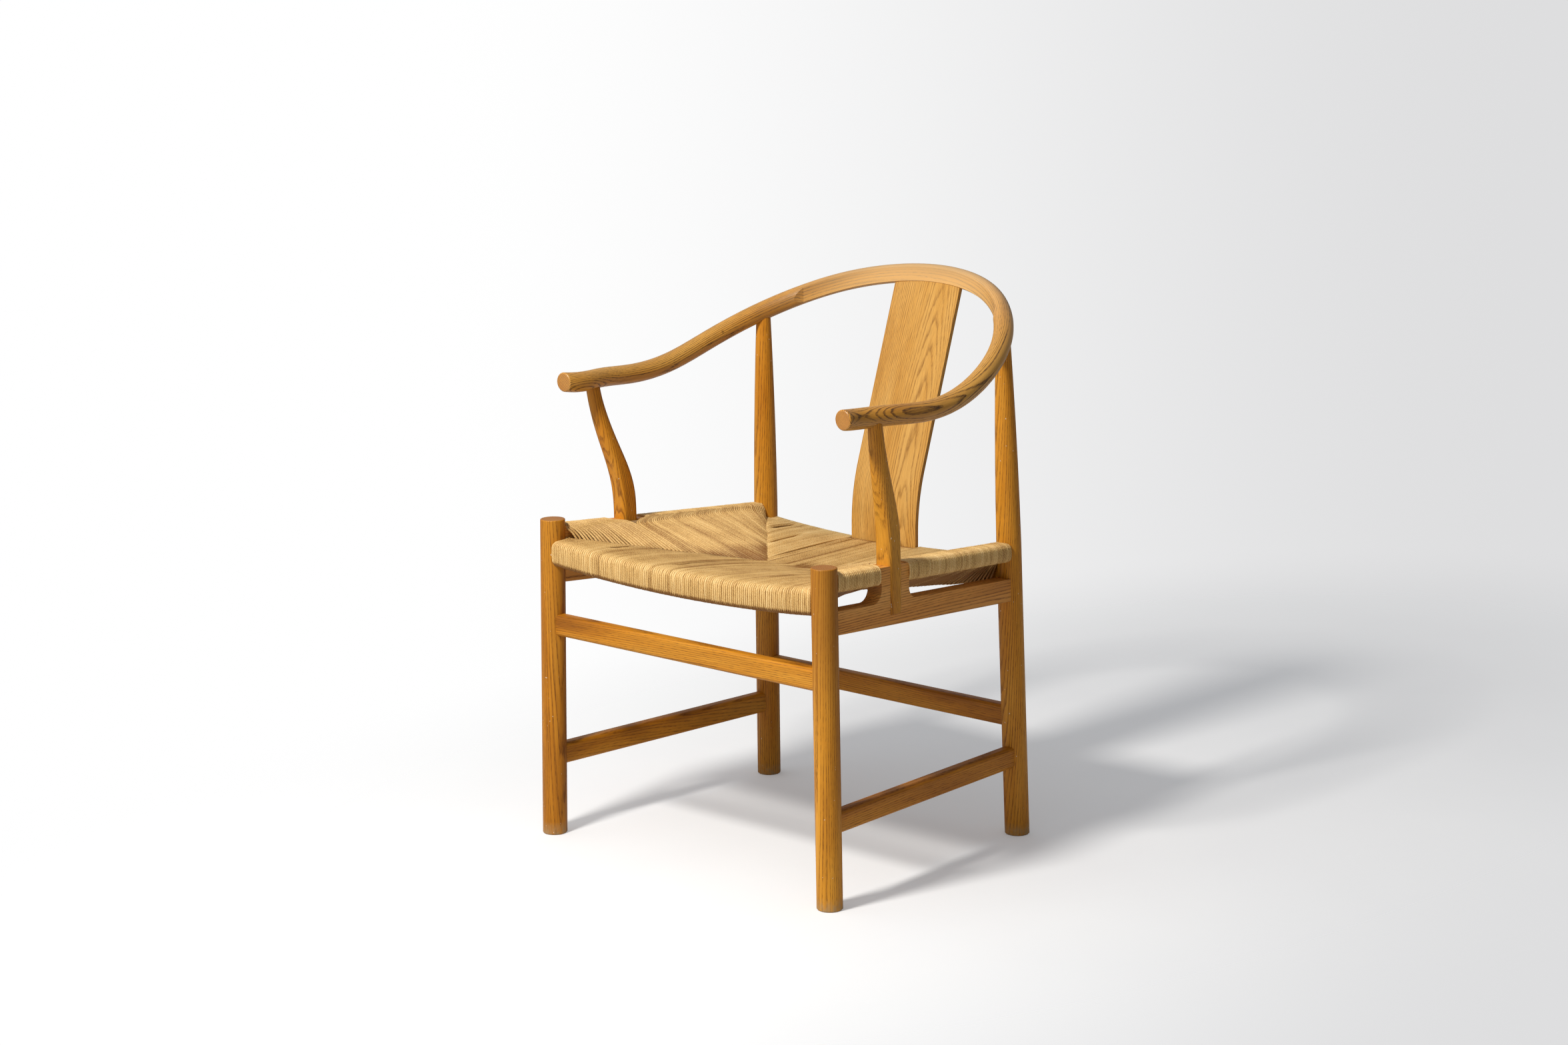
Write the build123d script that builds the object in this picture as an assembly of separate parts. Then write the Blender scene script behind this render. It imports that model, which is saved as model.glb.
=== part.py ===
"""Horseshoe back armchair: ash frame with a woven paper cord seat.

The chair stands on the floor plane.  X runs across the chair, Y runs from the
front to the back and Z is up.  "left" and "right" are the sitter's own, so the
left side is +X.  Lengths are in millimetres.
"""
from build123d import *
import math
import os

# ------------------------------------------------------------------ legs
LEG_DIAMETER = 36.0
FRONT_LEG_HEIGHT = 471.0
FRONT_FOOT_SPREAD = 542.0
FRONT_TOP_SPREAD = 525.0
FRONT_LEG_RAKE = 3.0
REAR_FOOT_SPREAD = 495.0
FOOT_DEPTH = 438.0
LEG_END_ROUNDING = 1.5
POST_TOP_DIAMETER = 21.0
POST_TAPER_START = 435.0
POST_BELLY = 1.3

# ------------------------------------------------------------------ horseshoe rail
RAIL_DIAMETER = 28.5
RAIL_BACK_RADIUS = 277.0
RAIL_BACK_CENTRE = 265.0
RAIL_BACK_HEIGHT = 794.0
ARM_HEIGHT = 660.0
ARM_SPAN = 562.0
ARM_BEND_Y = 205.0
ARM_TIP_SPAN = 536.0
ARM_TIP_Y = 35.5
ARM_TIP_LIFT = 5.0
ARM_END_ROUNDING = 2.5
POST_REACH = 283.0
RAIL_SECTIONS = 18
RAIL_FLAT_DEPTH = 4.6
RAIL_FLAT_ANGLE = 44.0
RAIL_FLAT_RUNOUT = 7.0
# turn from the middle of the back in degrees, and share of the rise from the arms to the back
RAIL_RISE = ((0, 1.0), (18, 0.955), (36, 0.815), (54, 0.583), (72, 0.312), (88, 0.09))
ARM_DIP = 0.3

# ------------------------------------------------------------------ back splat
SPLAT_WIDTH = 125.0
SPLAT_THICKNESS = 6.5
SPLAT_HOLLOW = 4.5
SPLAT_WALL = 3.0
SPLAT_FOOT_HOLLOW = 1.0
SPLAT_SETBACK = 3.0
SPLAT_BEND_START = 424.0
SPLAT_BEND_RADIUS = 293.0
SPLAT_GROOVE_DEPTH = 9.0
SPLAT_FOOT_DEPTH = 14.0
SPLAT_BEND_STEPS = 4

# ------------------------------------------------------------------ arm supports
SUPPORT_BASE = 27.0
SUPPORT_TOP = 20.5
SUPPORT_PLACE = 140.0
SUPPORT_FROM_TIP = 58.5
SUPPORT_LAP_LENGTH = 67.0
SUPPORT_EDGE_ROUNDING = 5.0
SUPPORT_DOWEL_DIAMETER = 8.0
SUPPORT_DOWEL_LENGTH = 30.0
# share of the height, of the sideways shift, of the slimming and of the rounding
SUPPORT_STATIONS = (
    (0.0, 0.0, 0.0, 0.0),
    (0.22, 0.05, 0.02, 0.08),
    (0.40, 0.24, 0.06, 0.35),
    (0.57, 0.52, 0.20, 0.75),
    (0.745, 0.785, 0.55, 0.97),
    (0.91, 0.96, 0.97, 1.0),
    (1.0, 1.0, 1.0, 1.0),
)

# ------------------------------------------------------------------ seat frame
SIDE_RAIL_THICKNESS = 24.0
SIDE_RAIL_HEIGHT = 82.0
SIDE_RAIL_TOP = 460.5
SEAT_SLOPE = 0.065
UPPER_BAR_HEIGHT = 22.0
LOWER_BAR_HEIGHT = 32.5
BLOCK_FRONT = 108.5
BLOCK_REAR = 170.0
SLOT_CORNER_RADIUS = 18.0
SEAT_RAIL_THICKNESS = 24.0
SEAT_RAIL_HEIGHT = 32.0
SEAT_RAIL_DROP = 20.5
SEAT_RAIL_SAG = 12.0
SEAT_RAIL_ROUNDING = 6.0

# ------------------------------------------------------------------ stretchers
STRETCHER_THICKNESS = 20.0
STRETCHER_HEIGHT = 31.5
STRETCHER_ROUNDING = 6.0
FRONT_STRETCHER_HEIGHT = 316.5
REAR_STRETCHER_HEIGHT = 177.5
SIDE_STRETCHER_HEIGHT = 118.7

# ------------------------------------------------------------------ joints
TENON_THICKNESS = 10.0
TENON_SHOULDER = 4.0
TENON_LENGTH = 22.0
ROUND_TENON_DIAMETER = 13.0
ROUND_TENON_LENGTH = 17.0
GLUE_GAP = 0.1

# ------------------------------------------------------------------ woven seat
CORD_DIAMETER = 3.0
CORD_GAP = 0.3
WEAVE_CENTRE_TOP = 398.0
WEAVE_CENTRE_Y = 226.0
WEAVE_BRIDGE = 104.0
WEAVE_THICKNESS = 26.0
WEAVE_EDGE_ROUNDING = 6.0
WEAVE_START = 24.0
STUFFING_MARGIN = 3.0
STUFFING_CLEARANCE = 0.9
TACK_DIAMETER = 2.0
TACK_LENGTH = 14.0
TACK_HEAD_DIAMETER = 5.0
TACK_HEAD_THICKNESS = 1.0

LEG_RADIUS = LEG_DIAMETER / 2
RAIL_RADIUS = RAIL_DIAMETER / 2
OUT = "parts"


# ------------------------------------------------------------------ shared lines
def along(start, end, distance):
    """Point at a distance from start on the line to end."""
    step = (end - start).normalized()
    return start + step * distance


def at_height(axis, height):
    """Point of a leg axis at a height above the floor."""
    foot, top = axis
    share = (height - foot.Z) / (top.Z - foot.Z)
    return foot + (top - foot) * share


def rail_spine():
    """Centre line of the horseshoe rail, from the right arm tip to the left."""
    rise = RAIL_BACK_HEIGHT - ARM_HEIGHT
    half = []
    for angle, share in RAIL_RISE:
        turn = math.radians(angle)
        x = RAIL_BACK_RADIUS * math.sin(turn)
        y = RAIL_BACK_CENTRE + RAIL_BACK_RADIUS * math.cos(turn)
        half.append(Vector(x, y, ARM_HEIGHT + rise * share))
    half.append(Vector(ARM_SPAN / 2, ARM_BEND_Y, ARM_HEIGHT))
    tip = Vector(ARM_TIP_SPAN / 2, ARM_TIP_Y, ARM_HEIGHT + ARM_TIP_LIFT)
    middle = (half[-1] + tip) * 0.5
    half.append(Vector(middle.X, middle.Y, ARM_HEIGHT + ARM_TIP_LIFT * ARM_DIP))
    half.append(tip)
    right = [Vector(-point.X, point.Y, point.Z) for point in reversed(half[1:])]
    return Spline(*right, *half)


SPINE = rail_spine()
SPINE_HALF = SPINE.length / 2


def spine_point(reach):
    """Point on the left half of the rail, at a reach from the middle of the back."""
    return SPINE.position_at((SPINE_HALF + reach) / SPINE.length)


FRONT_AXIS = (
    Vector(FRONT_FOOT_SPREAD / 2, -FRONT_LEG_RAKE, 0),
    Vector(FRONT_TOP_SPREAD / 2, 0, FRONT_LEG_HEIGHT),
)
POST_JOINT = spine_point(POST_REACH)
REAR_AXIS = (
    Vector(REAR_FOOT_SPREAD / 2, FOOT_DEPTH - FRONT_LEG_RAKE, 0),
    POST_JOINT,
)


def side_rail_top(y):
    """Height of the upper edge of a side rail at a distance behind the front legs."""
    return SIDE_RAIL_TOP - SEAT_SLOPE * y


def side_rail_line():
    """Ends of the middle plane of the left side rail, on the leg axes."""
    front = at_height(FRONT_AXIS, SIDE_RAIL_TOP - SIDE_RAIL_HEIGHT / 2)
    rear = at_height(REAR_AXIS, side_rail_top(FOOT_DEPTH) - SIDE_RAIL_HEIGHT / 2)
    return Vector(front.X, front.Y, 0), Vector(rear.X, rear.Y, 0)


SIDE_FRONT, SIDE_REAR = side_rail_line()
SIDE_TURN = math.degrees(math.atan2(SIDE_FRONT.X - SIDE_REAR.X, SIDE_REAR.Y - SIDE_FRONT.Y))


def side_rail_x(y):
    """Middle of the left side rail at a distance behind the front legs."""
    share = (y - SIDE_FRONT.Y) / (SIDE_REAR.Y - SIDE_FRONT.Y)
    return SIDE_FRONT.X + (SIDE_REAR.X - SIDE_FRONT.X) * share


SUPPORT_FOOT_X = side_rail_x(SUPPORT_PLACE)
FRONT_RAIL_TOP = SIDE_RAIL_TOP - SEAT_RAIL_DROP
REAR_RAIL_Y = at_height(REAR_AXIS, side_rail_top(FOOT_DEPTH) - SEAT_RAIL_DROP).Y
REAR_RAIL_TOP = side_rail_top(REAR_RAIL_Y) - SEAT_RAIL_DROP


# ------------------------------------------------------------------ helpers
def mirrored(solid):
    """The sitter's right hand copy of a left hand piece."""
    return mirror(solid, about=Plane.YZ)


def round_limb(axis, radius):
    """Round bar along a leg axis with level ends."""
    foot, top = axis
    length = (top - foot).length + 4 * radius
    bar = Cylinder(radius, length, align=(Align.CENTER, Align.CENTER, Align.MIN))
    bar = Plane(origin=along(foot, top, -2 * radius), x_dir=(1, 0, 0), z_dir=top - foot) * bar
    bar = split(bar, bisect_by=Plane(origin=foot), keep=Keep.TOP)
    return split(bar, bisect_by=Plane(origin=top), keep=Keep.BOTTOM)


def tenon_block(inside, outside, thickness, height, turn, grow=0.0):
    """Flat tenon between two points of a board's middle line."""
    middle = (inside + outside) * 0.5
    length = (outside - inside).length
    box = Box(length + grow, thickness + 2 * grow, height + 2 * grow)
    return Pos(middle) * Rot(0, 0, turn) * box


def board_ends(start, end, thickness, height, turn, grow=0.0):
    """The two tenons of a board that runs between two leg axes."""
    reach = TENON_LENGTH - LEG_RADIUS
    tenons = []
    for near, far in ((start, end), (end, start)):
        inside = along(near, far, -reach)
        outside = along(near, far, LEG_RADIUS + TENON_SHOULDER)
        tenons.append(tenon_block(inside, outside, thickness, height, turn, grow))
    return tenons


def stretcher(start, end, turn, legs):
    """Level board with rounded edges, coped to its legs and tenoned into them."""
    length = (end - start).length
    board = Box(length, STRETCHER_THICKNESS, STRETCHER_HEIGHT)
    board = fillet(board.edges().filter_by(Axis.X), STRETCHER_ROUNDING)
    board = Pos((start + end) * 0.5) * Rot(0, 0, turn) * board
    for leg in legs:
        board -= leg
    for tenon in stretcher_tenons(start, end, turn):
        board += tenon
    return board


def stretcher_tenons(start, end, turn, grow=0.0):
    """Tenons of a stretcher, grown for the mortises that take them."""
    height = STRETCHER_HEIGHT - 2 * TENON_SHOULDER
    return board_ends(start, end, TENON_THICKNESS, height, turn, grow)


# ------------------------------------------------------------------ legs as plain bars
def leg_bars(gap):
    """The four legs up to the seat as plain bars, grown by a gap, to cut their neighbours."""
    front = (at_height(FRONT_AXIS, -LEG_DIAMETER), at_height(FRONT_AXIS, FRONT_LEG_HEIGHT))
    rear = (at_height(REAR_AXIS, -LEG_DIAMETER), at_height(REAR_AXIS, SIDE_RAIL_TOP))
    left = [round_limb(axis, LEG_RADIUS + gap) for axis in (front, rear)]
    return left + [mirrored(leg) for leg in left]


FRONT_LEFT, REAR_LEFT, FRONT_RIGHT, REAR_RIGHT = range(4)
LEGS = leg_bars(GLUE_GAP)


# ------------------------------------------------------------------ stretchers
def cross_line(axis, height):
    """Ends of a cross member between a pair of legs, right end first."""
    left = at_height(axis, height)
    return Vector(-left.X, left.Y, left.Z), left


def side_line():
    """Ends of the left side stretcher and its turn about Z."""
    front = at_height(FRONT_AXIS, SIDE_STRETCHER_HEIGHT)
    rear = at_height(REAR_AXIS, SIDE_STRETCHER_HEIGHT)
    turn = math.degrees(math.atan2(rear.Y - front.Y, rear.X - front.X))
    return front, rear, turn


FRONT_STRETCHER_LINE = cross_line(FRONT_AXIS, FRONT_STRETCHER_HEIGHT)
REAR_STRETCHER_LINE = cross_line(REAR_AXIS, REAR_STRETCHER_HEIGHT)
SIDE_STRETCHER_LINE = side_line()


def front_stretcher():
    legs = [LEGS[FRONT_LEFT], LEGS[FRONT_RIGHT]]
    return stretcher(*FRONT_STRETCHER_LINE, 0, legs)


def rear_stretcher():
    legs = [LEGS[REAR_LEFT], LEGS[REAR_RIGHT]]
    return stretcher(*REAR_STRETCHER_LINE, 0, legs)


def side_stretcher():
    legs = [LEGS[FRONT_LEFT], LEGS[REAR_LEFT]]
    return stretcher(*SIDE_STRETCHER_LINE, legs)


# ------------------------------------------------------------------ seat rails
def seat_rail_sag(x, half_span):
    """How far a curved seat rail hangs below its ends at a distance from the middle."""
    return SEAT_RAIL_SAG * (1 - (x / half_span) ** 2)


def seat_rail_bar(half_span, y, top, curve, grow=0.0):
    """Rounded bar between two leg axes, on a curve through its ends and its low middle."""
    high = top + grow
    low = top - SEAT_RAIL_HEIGHT - grow
    upper = curve((-half_span, high), (0, high - SEAT_RAIL_SAG), (half_span, high))
    lower = curve((half_span, low), (0, low - SEAT_RAIL_SAG), (-half_span, low))
    sides = [Line(upper @ 1, lower @ 0), Line(lower @ 1, upper @ 0)]
    face = Plane.XZ * make_face([upper, sides[0], lower, sides[1]])
    bar = extrude(face, amount=(SEAT_RAIL_THICKNESS + 2 * grow) / 2, both=True)
    long_edges = bar.edges().filter_by(lambda edge: edge.length > half_span)
    return Pos(0, y, 0) * fillet(long_edges, SEAT_RAIL_ROUNDING)


def seat_rail_tenons(axis, top, grow=0.0):
    """Tenons at the two ends of a front or rear seat rail."""
    height = SEAT_RAIL_HEIGHT - 2 * TENON_SHOULDER - SEAT_RAIL_ROUNDING / 2
    start, end = cross_line(axis, top - SEAT_RAIL_HEIGHT / 2 - SEAT_RAIL_SAG / 8)
    return board_ends(start, end, TENON_THICKNESS, height, 0, grow)


def front_seat_rail():
    half_span = side_rail_x(0)
    rail = seat_rail_bar(half_span, 0, FRONT_RAIL_TOP, Spline)
    rail -= LEGS[FRONT_LEFT]
    rail -= LEGS[FRONT_RIGHT]
    for tenon in seat_rail_tenons(FRONT_AXIS, FRONT_RAIL_TOP):
        rail += tenon
    return rail


def rear_seat_rail():
    half_span = side_rail_x(REAR_RAIL_Y)
    rail = seat_rail_bar(half_span, REAR_RAIL_Y, REAR_RAIL_TOP, Spline)
    rail -= LEGS[REAR_LEFT]
    rail -= LEGS[REAR_RIGHT]
    for tenon in seat_rail_tenons(REAR_AXIS, REAR_RAIL_TOP):
        rail += tenon
    return rail - splat_foot(grow=GLUE_GAP)


# ------------------------------------------------------------------ slotted side rails
def side_slab(start_y, end_y, top_drop, bottom_drop, thickness):
    """Part of the side rail between two cross sections and two drops below its upper edge."""
    corners = [
        (start_y, side_rail_top(start_y) - top_drop),
        (end_y, side_rail_top(end_y) - top_drop),
        (end_y, side_rail_top(end_y) - bottom_drop),
        (start_y, side_rail_top(start_y) - bottom_drop),
    ]
    turn = math.radians(SIDE_TURN)
    flat = [(y / math.cos(turn), z) for y, z in corners]
    across = (math.cos(turn), math.sin(turn), 0)
    plane = Plane(origin=(side_rail_x(0), 0, 0), x_dir=(SIDE_REAR - SIDE_FRONT).normalized(), z_dir=across)
    return extrude(plane * make_face(Polyline(*flat, close=True)), amount=thickness / 2, both=True)


def slot(start_y, end_y, block_y):
    """Long opening of a side rail, rounded at the bottom where it meets the centre block."""
    low = SIDE_RAIL_HEIGHT - LOWER_BAR_HEIGHT
    opening = side_slab(start_y, end_y, UPPER_BAR_HEIGHT, low, 2 * SIDE_RAIL_THICKNESS)
    corner = Vector(side_rail_x(block_y), block_y, side_rail_top(block_y) - low)
    across = opening.edges().sort_by_distance(corner)
    return fillet(across[0], SLOT_CORNER_RADIUS)


def side_tenons(grow=0.0):
    """Tenons of the upper and the lower bar at both ends of the left side rail."""
    tenons = []
    bars = ((0, UPPER_BAR_HEIGHT), (SIDE_RAIL_HEIGHT - LOWER_BAR_HEIGHT, LOWER_BAR_HEIGHT))
    for drop, bar_height in bars:
        ends = []
        for y in (SIDE_FRONT.Y, SIDE_REAR.Y):
            ends.append(Vector(side_rail_x(y), y, side_rail_top(y) - drop - bar_height / 2))
        height = bar_height - 2 * TENON_SHOULDER
        turn = 90 + SIDE_TURN
        tenons += board_ends(ends[0], ends[1], TENON_THICKNESS, height, turn, grow)
    return tenons


def side_seat_rail():
    """Board with two long slots, a centre block and a housing for the arm support."""
    board = side_slab(SIDE_FRONT.Y, SIDE_REAR.Y, 0, SIDE_RAIL_HEIGHT, SIDE_RAIL_THICKNESS)
    board -= slot(SIDE_FRONT.Y - LEG_DIAMETER, BLOCK_FRONT, BLOCK_FRONT)
    board -= slot(BLOCK_REAR, SIDE_REAR.Y + LEG_DIAMETER, BLOCK_REAR)
    board -= LEGS[FRONT_LEFT]
    board -= LEGS[REAR_LEFT]
    for tenon in side_tenons():
        board += tenon
    board -= support_lap(grow=GLUE_GAP)
    for place in TACK_PLACES:
        board -= tack(place, grow=GLUE_GAP)
    return board - support_dowel(grow=GLUE_GAP)


# ------------------------------------------------------------------ arm supports
SUPPORT_FOOT = Vector(SUPPORT_FOOT_X, SUPPORT_PLACE, side_rail_top(SUPPORT_PLACE))
SUPPORT_HEAD = spine_point(SPINE_HALF - SUPPORT_FROM_TIP)


def support_lap(grow=0.0):
    """Outer half of the foot of the left arm support, let into the side rail."""
    width = SUPPORT_BASE + 2 * grow
    thickness = SUPPORT_BASE / 2
    drop = SUPPORT_LAP_LENGTH + grow
    lap = Box(thickness + grow, width, drop + SUPPORT_DOWEL_LENGTH)
    lap = fillet(lap.edges().filter_by(Axis.Z).group_by(Axis.X)[-1], SUPPORT_EDGE_ROUNDING)
    place = Pos((thickness - grow) / 2, 0, SUPPORT_DOWEL_LENGTH / 2 - drop / 2)
    return Pos(SUPPORT_FOOT) * Rot(0, 0, SIDE_TURN) * place * lap


def support_dowel(grow=0.0):
    """Dowel that holds the inner half of the support's foot to the centre block."""
    dowel = Cylinder(SUPPORT_DOWEL_DIAMETER / 2 + grow, SUPPORT_DOWEL_LENGTH + 2 * grow)
    return Pos(SUPPORT_FOOT) * Rot(0, 0, SIDE_TURN) * Pos(-SUPPORT_BASE / 4, 0, 0) * dowel


def arm_support():
    """Sculpted support: rounded square at its foot, round where it meets the arm."""
    foot = SUPPORT_FOOT - Vector(0, 0, SUPPORT_DOWEL_DIAMETER)
    head = SUPPORT_HEAD
    faces = []
    for rise, shift, slim, roundness in SUPPORT_STATIONS:
        centre = Vector(
            foot.X + (head.X - foot.X) * shift,
            foot.Y + (head.Y - foot.Y) * shift,
            foot.Z + (head.Z - foot.Z) * rise,
        )
        side = SUPPORT_BASE + (SUPPORT_TOP - SUPPORT_BASE) * slim
        rounding = SUPPORT_EDGE_ROUNDING + (side / 2 - 0.2 - SUPPORT_EDGE_ROUNDING) * roundness
        plane = Plane(origin=centre, x_dir=Vector(1, 0, 0).rotate(Axis.Z, SIDE_TURN * (1 - rise)))
        faces.append(plane * RectangleRounded(side, side, rounding))
    body = loft(faces)
    body += support_lap() - support_top_cut()
    body -= centre_block() - support_lap()
    body -= rail_bar(RAIL_RADIUS + GLUE_GAP)
    body += support_tenon()
    return body - support_dowel(grow=GLUE_GAP)


def support_top_cut():
    """Space above the block, where the lap ends and the sculpted support goes on."""
    side = 4 * SUPPORT_BASE
    return Pos(SUPPORT_FOOT) * Box(side, side, side, align=(Align.CENTER, Align.CENTER, Align.MIN))


def centre_block():
    """Solid stretch of the left side rail between its two slots."""
    thickness = SIDE_RAIL_THICKNESS + 2 * GLUE_GAP
    return side_slab(BLOCK_FRONT, BLOCK_REAR, -GLUE_GAP, SIDE_RAIL_HEIGHT, thickness)


def support_tenon(grow=0.0):
    """Round tenon at the head of the left arm support."""
    radius = ROUND_TENON_DIAMETER / 2 + grow
    length = ROUND_TENON_LENGTH + grow
    base = SUPPORT_HEAD.Z - RAIL_RADIUS - TENON_SHOULDER
    pin = Cylinder(radius, length + TENON_SHOULDER, align=(Align.CENTER, Align.CENTER, Align.MIN))
    return Pos(SUPPORT_HEAD.X, SUPPORT_HEAD.Y, base) * pin


# ------------------------------------------------------------------ rear posts
def post_tenon(grow=0.0):
    """Round tenon at the top of the left rear post."""
    axis = (REAR_AXIS[1] - REAR_AXIS[0]).normalized()
    start = REAR_AXIS[1] - axis * (RAIL_RADIUS + TENON_SHOULDER)
    radius = ROUND_TENON_DIAMETER / 2 + grow
    length = ROUND_TENON_LENGTH + TENON_SHOULDER + grow
    pin = Cylinder(radius, length, align=(Align.CENTER, Align.CENTER, Align.MIN))
    return Plane(origin=start, z_dir=axis) * pin


def rear_post():
    """Round leg that tapers with a slight belly from the seat up to the rail."""
    foot, top = REAR_AXIS
    length = (top - foot).length
    start = POST_TAPER_START
    middle = (start + length) / 2
    end_radius = POST_TOP_DIAMETER / 2
    mid_radius = (LEG_RADIUS + end_radius) / 2 + POST_BELLY
    taper = ThreePointArc((LEG_RADIUS, start), (mid_radius, middle), (end_radius, length))
    outline = [
        Line((0, -LEG_DIAMETER), (LEG_RADIUS, -LEG_DIAMETER)),
        Line((LEG_RADIUS, -LEG_DIAMETER), (LEG_RADIUS, start)),
        taper,
        Line((end_radius, length), (0, length)),
        Line((0, length), (0, -LEG_DIAMETER)),
    ]
    post = revolve(Plane.XZ * make_face(outline), Axis.Z)
    post = Plane(origin=foot, z_dir=(top - foot).normalized()) * post
    post = split(post, bisect_by=Plane.XY, keep=Keep.TOP)
    post = chamfer(post.edges().group_by(Axis.Z)[0], LEG_END_ROUNDING)
    post -= rail_bar(RAIL_RADIUS + GLUE_GAP)
    post += post_tenon()
    for tenon in stretcher_tenons(*SIDE_STRETCHER_LINE, grow=GLUE_GAP):
        post -= tenon
    for tenon in stretcher_tenons(*REAR_STRETCHER_LINE, 0, grow=GLUE_GAP):
        post -= tenon
    for tenon in seat_rail_tenons(REAR_AXIS, REAR_RAIL_TOP, grow=GLUE_GAP):
        post -= tenon
    for tenon in side_tenons(grow=GLUE_GAP):
        post -= tenon
    return post


def front_leg():
    """Straight round leg that stands a little above the seat."""
    leg = round_limb(FRONT_AXIS, LEG_RADIUS)
    leg = fillet(leg.edges().group_by(Axis.Z)[-1], LEG_END_ROUNDING)
    leg = chamfer(leg.edges().group_by(Axis.Z)[0], LEG_END_ROUNDING)
    for tenon in stretcher_tenons(*SIDE_STRETCHER_LINE, grow=GLUE_GAP):
        leg -= tenon
    for tenon in stretcher_tenons(*FRONT_STRETCHER_LINE, 0, grow=GLUE_GAP):
        leg -= tenon
    for tenon in seat_rail_tenons(FRONT_AXIS, FRONT_RAIL_TOP, grow=GLUE_GAP):
        leg -= tenon
    for tenon in side_tenons(grow=GLUE_GAP):
        leg -= tenon
    return leg


# ------------------------------------------------------------------ horseshoe rail
def rail_bar(radius):
    """Round bar along the whole spine."""
    sections = []
    for step in range(RAIL_SECTIONS + 1):
        place = step / RAIL_SECTIONS
        forward = SPINE % place
        across = Vector(forward.Y, -forward.X, 0)
        sections.append(Plane(origin=SPINE @ place, x_dir=across, z_dir=forward) * Circle(radius))
    return loft(sections)


def rail_flat():
    """Tool that dresses the inner side of the back flat, with a hollow run-out at each end."""
    flat = RAIL_BACK_RADIUS - RAIL_RADIUS + RAIL_FLAT_DEPTH
    clear = RAIL_BACK_RADIUS - RAIL_RADIUS - RAIL_FLAT_DEPTH
    ends = []
    for angle, radius in ((RAIL_FLAT_ANGLE, flat), (RAIL_FLAT_ANGLE + RAIL_FLAT_RUNOUT, clear)):
        turn = math.radians(angle)
        ends.append((radius * math.sin(turn), radius * math.cos(turn)))
    (flat_x, flat_y), (clear_x, clear_y) = ends
    arc = ThreePointArc((-flat_x, flat_y), (0, flat), (flat_x, flat_y))
    outline = [
        arc,
        Line((flat_x, flat_y), (clear_x, clear_y)),
        Line((clear_x, clear_y), (0, 0)),
        Line((0, 0), (-clear_x, clear_y)),
        Line((-clear_x, clear_y), (-flat_x, flat_y)),
    ]
    tool = extrude(make_face(outline), amount=2 * RAIL_BACK_HEIGHT)
    return Pos(0, RAIL_BACK_CENTRE, 0) * tool


def arm_end():
    """Disc with a rounded edge that closes the tip of the left arm."""
    shoulder = RAIL_RADIUS - ARM_END_ROUNDING
    height = ARM_END_ROUNDING
    bulge = math.sqrt(0.5) * ARM_END_ROUNDING
    outline = [
        Line((0, 0), (RAIL_RADIUS, 0)),
        ThreePointArc((RAIL_RADIUS, 0), (shoulder + bulge, bulge), (shoulder, height)),
        Line((shoulder, height), (0, height)),
        Line((0, height), (0, 0)),
    ]
    disc = revolve(Plane.XZ * make_face(outline), Axis.Z)
    return Plane(origin=SPINE @ 1, z_dir=SPINE % 1) * disc


def horseshoe_rail():
    rail = rail_bar(RAIL_RADIUS) + arm_end() + mirrored(arm_end())
    rail -= rail_flat()
    for pin in (post_tenon(grow=GLUE_GAP), support_tenon(grow=GLUE_GAP)):
        rail -= pin
        rail -= mirrored(pin)
    return rail - splat_head(grow=GLUE_GAP)


# ------------------------------------------------------------------ back splat
def splat_lines():
    """Side view of the splat's edges: foot, bend and the lean of the straight part."""
    inner_side = RAIL_BACK_RADIUS - RAIL_RADIUS + RAIL_FLAT_DEPTH
    top_y = RAIL_BACK_CENTRE + inner_side + SPLAT_WALL + SPLAT_THICKNESS / 2 - SPLAT_HOLLOW
    top_z = RAIL_BACK_HEIGHT - RAIL_RADIUS + SPLAT_GROOVE_DEPTH
    foot_y = REAR_RAIL_Y + SPLAT_SETBACK
    foot_z = REAR_RAIL_TOP - SEAT_RAIL_SAG - SPLAT_FOOT_DEPTH
    across = top_y - foot_y - SPLAT_BEND_RADIUS
    climb = top_z - SPLAT_BEND_START
    straight = math.sqrt(across ** 2 + climb ** 2 - SPLAT_BEND_RADIUS ** 2)
    lean = math.atan2(across, climb) + math.atan2(SPLAT_BEND_RADIUS, straight)
    return foot_y, foot_z, lean, straight


def splat_section(run, grow):
    """Curved cross section of the splat, at a run along its middle from the start of the bend."""
    foot_y, foot_z, lean, straight = splat_lines()
    turn = min(max(run / SPLAT_BEND_RADIUS, 0), lean)
    rest = run - turn * SPLAT_BEND_RADIUS
    y = foot_y + SPLAT_BEND_RADIUS * (1 - math.cos(turn)) + rest * math.sin(turn)
    z = SPLAT_BEND_START + SPLAT_BEND_RADIUS * math.sin(turn) + rest * math.cos(turn)
    lower = SPLAT_BEND_START - foot_z
    total = lower + lean * SPLAT_BEND_RADIUS + straight
    hollow = SPLAT_FOOT_HOLLOW + (SPLAT_HOLLOW - SPLAT_FOOT_HOLLOW) * (lower + run) / total
    half = SPLAT_WIDTH / 2 + grow
    thick = SPLAT_THICKNESS / 2 + grow
    front = ThreePointArc((-half, -thick), (0, hollow - thick), (half, -thick))
    back = ThreePointArc((half, thick), (0, hollow + thick), (-half, thick))
    sides = [Line(front @ 1, back @ 0), Line(back @ 1, front @ 0)]
    plane = Plane(origin=(0, y, z), x_dir=(1, 0, 0), z_dir=(0, math.sin(turn), math.cos(turn)))
    return plane * make_face([front, sides[0], back, sides[1]])


def splat_foot(grow=0.0):
    """Upright foot of the splat, let into the rear rail."""
    foot_y, foot_z, lean, straight = splat_lines()
    start = foot_z - SPLAT_BEND_START - grow
    return loft([splat_section(start, grow), splat_section(0, grow)], ruled=True)


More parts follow.
